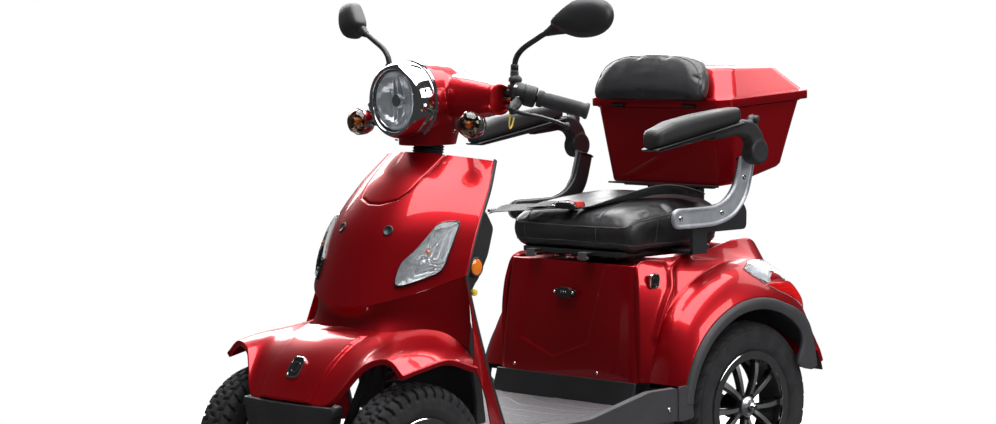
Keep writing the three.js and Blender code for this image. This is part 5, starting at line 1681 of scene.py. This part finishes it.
def signal(side, name):
    """A round lamp across the scooter: chrome cup behind, smoked dome in front, amber bulb inside."""
    centre = np.array((190, -272, 924.0))
    axis = unit(np.array((0.10, -0.995, 0.03)))
    cup = turned([(8, 30), (16, 28), (24, 23), (29, 13), (31, 2), (31, -6), (29.4, -7), (29, 2), (27, 12),
        (22, 20), (14, 25), (4, 26), (4, 30)], centre, -axis, 48)
    dome = turned([(29.6, 4), (29.6, 8), (28.6, 14), (25, 22), (17, 28.5), (8, 31), (0.5, 31.6), (0.5, 30.2),
        (8, 29.6), (16, 27), (23.6, 21), (27, 13.6), (28, 4)], centre, axis, 48)
    band = turned([(29.8, 3), (31.4, 4), (31.4, 8), (29.8, 9)], centre, axis, 48, closed=True)
    bulb = ball(centre + axis * 10, (8, 10, 9), 20)
    foot = rod(centre - axis * 20, centre + axis * 2, 5, 16)
    stalk = pipe([(112, -232, 922), (135, -240, 921), (160, -252, 922), (178, -262, 923)], 8, 30, 16)
    washer = turned([(13, 0), (15, 2), (15, 9), (11, 11)], (108, -231, 922), (0.92, -0.36, 0), 24)
    piece(f"signal_cup_{name}", (cup + band + foot).on(side), CHROME, "handlebar", [f"signal_{name}"],
        sharp=50)
    piece(f"signal_dome_{name}", dome.on(side), SMOKED, "handlebar", sharp=60)
    piece(f"signal_bulb_{name}", bulb.on(side), ORANGE, "handlebar", sharp=60)
    piece(f"signal_stalk_{name}", (stalk + washer).on(side), GRIP, "handlebar", sharp=50)


BAR_LINE = [(0, -206, 966), (62, -205, 970), (120, -200, 984), (160, -190, 992), (200, -171, 994)]


def handlebar():
    """The steering stem, the bent bar with its clamp, and both bar ends."""
    half = curve(BAR_LINE + [along_grip(-30), along_grip(0), along_grip(60), along_grip(112)], steps(90))
    whole = np.concatenate([half[::-1] * (-1, 1, 1), half[1:]])
    bar = sweep(whole, circle(11, 20))
    stem = rod(on_column(-480), on_column(112), 12, 24)
    clamp = block((-26, -226, 950), (26, -186, 985))
    nut = turned([(16, 0), (18, 2), (18, 14), (14, 17)], on_column(-150), BAR_RISE, 24)
    piece("handlebar_tube", bar + stem + clamp + nut, DARK_STEEL, "handlebar", ["handlebar"],
        bevel=1.0, sharp=40)


def grip(side, name, body, replaced):
    """A rubber sleeve with a diamond pattern between its collar and end flange."""
    form = turned([(12.6, 1.2)] + [(19, 2.5), (19.4, 5), (19.4, 13), (17, 16)]
        + [(16.4, s) for s in steps(72, 18, 108)]
        + [(16.8, 111), (18.6, 114), (19.2, 118), (17.4, 121), (12.6, 121.6)], GRIP_START, GRIP_AHEAD, 72)
    relative = form.points - GRIP_START
    s = relative @ GRIP_AHEAD
    right, up = frame_on(GRIP_AHEAD)
    turn = np.arctan2(relative @ up, relative @ right)
    weave = np.abs(np.sin(turn * 9 + s * 0.42)) * np.abs(np.sin(turn * 9 - s * 0.42))
    lift = 1.1 * weave ** 0.7 * smooth(s, 20, 26) * smooth(-s, -106, -100)
    spoke = unit(relative - s[:, None] * GRIP_AHEAD)
    form.points = form.points + spoke * lift[:, None]
    piece(f"grip_sleeve_{name}", form.on(side), GRIP, body, [replaced], sharp=50)


def control_housing(side, name):
    """Clamshell by the grip with its band, lever perch, mirror boss, boot and cable fittings."""
    start = along_grip(-56)
    shell_form = turned([(14, 0), (22, 0.5), (24.5, 4), (25, 12), (25, 26), (23.4, 27.4), (23.4, 29), (25, 30.4),
        (25, 48), (23, 53.5), (19, 55), (14, 55)], start, GRIP_AHEAD, 48)
    perch_run = sweep(curve([along_grip(-38) + (0, -6, -4), (238, -176, 972), (239, -190, 961), (240, -195, 954)],
        steps(16)), oval(12, 9, 3, 20), up=(0.5, 0.4, 0.8))
    boss = rod((216, -161, 1000), (217, -160, 1020), 13, 32)
    block_top = loft([np.column_stack([oval(17 * k, 15 * k, 4, 32) + (219, -161), np.full(32, z)])
        for k, z in ((0.95, 985), (1, 988), (1, 1009), (0.92, 1012))])
    body = shell_form + perch_run + boss + block_top
    piece(f"control_housing_{name}", body.on(side), BLACK, "handlebar", [f"control_{name}"], sharp=45)
    dome = turned([(14.5, 0), (15.5, 3), (15, 8), (11, 13), (8.5, 15)], (216, -160, 1018), (0, 0, 1), 32)
    boot = turned([(9.4, 0), (9.6, 3), (10.2, 4), (9.6, 5), (9.4, 8), (10, 9), (9.2, 10), (8.6, 24), (7.6, 27)],
        (213.5, -160, 1031), (0.02, 0, 1), 32)
    piece(f"mirror_boot_{name}", (dome + boot).on(side), GRIP, "handlebar", sharp=50)
    bolt_axis = (0.35, -0.75, 0.55)
    bolts = screw(along_grip(-42) + np.array(bolt_axis) * 25.5, bolt_axis, 5)
    bolts = bolts + turned([(6, 0), (7, 1), (7, 6), (6, 7)], (238, -172, 984), (0.3, -0.6, 0.7), 6)
    piece(f"control_bolts_{name}", bolts.on(side), MACHINED, "handlebar", sharp=40)
    fittings = []
    for z, lift in ((978, 0), (962, 4)):
        fittings.append(rod((206 - lift, -176, z), (219 - lift, -172, z + 1), 5, 6))
        fittings.append(rod((198 - lift, -178, z - 1), (207 - lift, -176, z), 3.6, 14))
    piece(f"cable_fittings_{name}", all_of(fittings).on(side), BRASS, "handlebar", sharp=40)


def brake_lever(side, name):
    """A flat forged blade from its pivot boss to the ball."""
    run = curve([(240, -190, 954), (258, -170, 946), (280, -151, 940), (305, -127, 930), (326, -106, 918)], steps(50))
    grow = np.column_stack([np.interp(steps(50), (0, 0.15, 0.6, 1), (1.35, 1.15, 1.0, 0.8)),
        np.interp(steps(50), (0, 0.15, 0.6, 1), (1.0, 0.9, 0.8, 0.75))])
    blade = sweep(run, oval(6, 5.4, 2.6, 20), up=(0.2, 0.2, 0.95), scale=grow)
    knob = ball((326, -106, 918), (8, 8, 8), 24)
    boss = turned([(8, 0), (9.4, 1), (9.4, 13), (8, 14)], (240, -193.5, 960.5), (0, 0.28, -0.96), 32)
    piece(f"brake_blade_{name}", (blade + knob + boss).on(side), LEVER, f"brake_lever_{name}",
        [f"brake_lever_{name}"], sharp=50)


def mirror(side, name):
    """A teardrop shell on a bent stem: a flat glass faces the rider, the back swells forwards."""
    stem_line = [(214, -160, 1042), (214.5, -159.6, 1056), (219, -159, 1072), (230, -157.6, 1086),
        (245, -156, 1097), (262, -154.6, 1106), (278, -153, 1114), (298, -151, 1124), (318, -149, 1131)]
    stem = pipe(stem_line, 6.6, 80, 18, up=(0.1, 1, 0))
    grip_collar = turned([(7, 0), (9, 1.2), (9, 12), (7, 14)], (214, -160, 1044), (0.03, 0, 1), 28)
    centre = np.array((389, -121, 1160.0))
    long_way = unit(np.array((0.9, 0.41, 0.15)))
    deep = unit(np.array((0.41, -0.9, 0.0)))
    tall_way = unit(np.cross(long_way, deep))
    tall_way = tall_way * np.sign(tall_way[2])
    angle = np.arange(64) * 2 * math.pi / 64
    reach = 74 * np.cos(angle)
    width = 46 * np.sin(angle) * (1 + 0.20 * np.cos(angle)) / 1.04
    width = width * (0.82 + 0.18 * smooth(reach, -74, -10))
    rings = []
    for scale, depth in ((0.80, -9), (0.93, -9), (0.955, -12.5), (0.985, -12.5), (1, -9), (1, -3), (0.985, 4),
            (0.94, 11), (0.85, 17.5), (0.7, 22.5), (0.5, 26), (0.28, 27.8), (0.1, 28.4)):
        rings.append(centre + reach[:, None] * scale * long_way + width[:, None] * scale * tall_way + depth * deep)
    head = loft(rings)
    neck_line = curve([(306, -150, 1127), (322, -146, 1134), (340, -140, 1142), (360, -132, 1150)], steps(24))
    neck_form = sweep(neck_line, oval(1, 1, 2.2, 24), up=(0.1, 0.2, 1),
        scale=np.column_stack([np.interp(steps(24), (0, 0.4, 1), (7.6, 11, 16)),
        np.interp(steps(24), (0, 0.4, 1), (7.6, 14, 26))]))
    piece(f"mirror_shell_{name}", (stem + grip_collar + head + neck_form).on(side), BLACK, f"mirror_{name}",
        [f"mirror_head_{name}"], sharp=60)
    rows = [centre + reach[:, None] * scale * long_way + width[:, None] * scale * tall_way + depth * deep
        for scale, depth in ((0.935, -8), (0.93, -10.2), (0.6, -10.8), (0.1, -11))]
    piece(f"mirror_glass_{name}", loft(rows).on(side), MIRROR, f"mirror_{name}", sharp=50)


def horn_button():
    """The cap and its surround, turned about the button axis."""
    ahead = unit(np.array((-0.45, 0.7, 0.55)))
    base = along_grip(-22) + 19.5 * ahead
    form = turned([(4.5, 0), (5.6, 0.6), (5.6, 8.8), (4.8, 10.2), (2, 10.8)], base, ahead, 28)
    piece("horn_button_cap", form, YELLOW, "horn_button", ["horn_button"], sharp=50)
    well = turned([(6.9, 5.6), (9.4, 5.6), (9.4, 6.9), (8.6, 7.8), (6.9, 7.4)], base, ahead, 32, closed=True)
    piece("horn_button_surround", well, GREY, "handlebar", sharp=50)


CABLE_RUNS = {
    "throttle": ([(207, -176, 979), (192, -182, 984), (170, -190, 985), (140, -197, 976), (112, -200, 962)], 3),
    "brake": ([(203, -177, 963), (186, -187, 955), (164, -196, 950), (138, -200, 951), (112, -200, 956)], 3),
    "switch": ([(228, -186, 960), (230, -190, 944), (226, -190, 926), (222, -184, 914), (214, -170, 918),
    (204, -154, 936)], 1.8),}


def cables():
    """A circle carried along each run, on both sides."""
    for name, (run, radius) in CABLE_RUNS.items():
        finish = YELLOW if name == "switch" else GRIP
        path = curve(run, steps(60))
        for label, side in SIDES:
            piece(f"{name}_cable_{label}", sweep(path, circle(radius, 12)).on(side), finish, "handlebar",
                sharp=60)


nacelle()
headlamp()
handlebar()
grip(-1, "right", "throttle", "throttle_grip")
grip(1, "left", "handlebar", "grip_left")
horn_button()
cables()
for name, side in SIDES:
    signal(side, name)
    control_housing(side, name)
    brake_lever(side, name)
    mirror(side, name)


# ---------- inner leg shield ----------
BACK_LINE = [(-262, 728), (-288, 640), (-306, 590), (-316, 545), (-322, 510), (-300, 400), (-284, 300), (-284, 244),
    (-246, 244), (-268, 400), (-296, 500), (-300, 545), (-266, 574), (-234, 629), (-216, 689), (-241, 731)]


def leg_shield_back():
    """The rider's side of the shield: a moulded panel, its bag hook, round reflectors and seat-lamp plugs."""
    panel = ribbon(plate_x(round_corners(BACK_LINE, 9, 3), [(-203, 5), (-199, 1), (-192, 0), (192, 0), (199, 1),
        (203, 5)]))
    ribs = all_of(sweep([(x, -236, 706), (x, -250, 660), (x, -283, 590)], oval(4, 3, 3, 12), up=(0, 1, 0.3))
        for x in steps(5, -120, 120))
    hook = pipe([(0, -262, 622), (0, -226, 616), (0, -214, 600), (0, -222, 584)], 5, 30, 12, up=(1, 0, 0))
    piece("leg_shield_back_panel", panel + ribs + hook, BLACK, "chassis", ["leg_shield_back"],
        sharp=35)
    lamps = []
    for s in (-1, 1):
        lamps.append(turned([(21, 0), (23, 1), (23, 6), (20, 7.5), (18, 6)], (s * 202, -280, 605), (s, 0.1, 0), 40))
    piece("reflector_rings", all_of(lamps), BLACK, "chassis", sharp=40)
    domes = all_of(turned([(18, 0), (18, 7), (14, 9), (7, 10), (1, 10.4)], (s * 202, -280, 605), (s, 0.1, 0), 40)
        for s in (-1, 1))
    piece("shield_reflectors", domes, ORANGE, "chassis", sharp=50)
    caps = all_of(turned([(7, 0), (8, 1), (8, 8), (6, 10), (2, 10.6)], (s * 202, -287, 548), (s, -0.1, 0), 24)
        for s in (-1, 1))
    piece("shield_plug_caps", caps, YELLOW, "chassis", sharp=50)


# ---------- running gear ----------
NODE_FINISHES = {"chassis_frame": DARK_STEEL, "transaxle": CAST, "battery_pack": BLACK, "track_rod": DARK_STEEL,
    "knuckle_left": CAST, "knuckle_right": CAST,}


def running_gear():
    """Bare solids of the chassis get their finishes; bands, posts and leads go on top."""
    for name, finish in NODE_FINISHES.items():
        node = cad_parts[name]
        if node.material_slots:
            node.material_slots[0].material = finish
        else:
            node.data.materials.append(finish)
    low, high = (np.array(corner) * 1000 + (0, BASE_CENTRE_Y, 0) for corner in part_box("battery_pack"))
    middle = (low + high) / 2
    bands = all_of(block((x - 9, low[1] - 1.2, low[2] + 4), (x + 9, high[1] + 1.2, high[2] + 1.4))
        for x in (middle[0] - 70, middle[0] + 70))
    piece("battery_bands", bands, GRIP, "chassis", bevel=1)
    posts = all_of(turned([(9, 0), (9, 8), (6, 9), (6, 15), (4, 16)], (x, middle[1] + 40, high[2]), (0, 0, 1), 20)
        for x in (middle[0] - 36, middle[0] + 36))
    piece("battery_posts", posts, BRASS, "chassis", sharp=40)
    for lean, finish in ((-1, BUTTON), (1, GRIP)):
        x = middle[0] + lean * 36
        run = curve([(x, middle[1] + 40, high[2] + 12), (x + lean * 14, middle[1] + 70, high[2] + 22),
            (x + lean * 10, high[1] - 4, high[2] + 14), (x, high[1] + 12, high[2] - 30)], steps(50))
        label = "positive" if lean < 0 else "negative"
        piece(f"battery_lead_{label}", sweep(run, circle(4, 12)), finish, "chassis", sharp=60)


leg_shield_back()
running_gear()
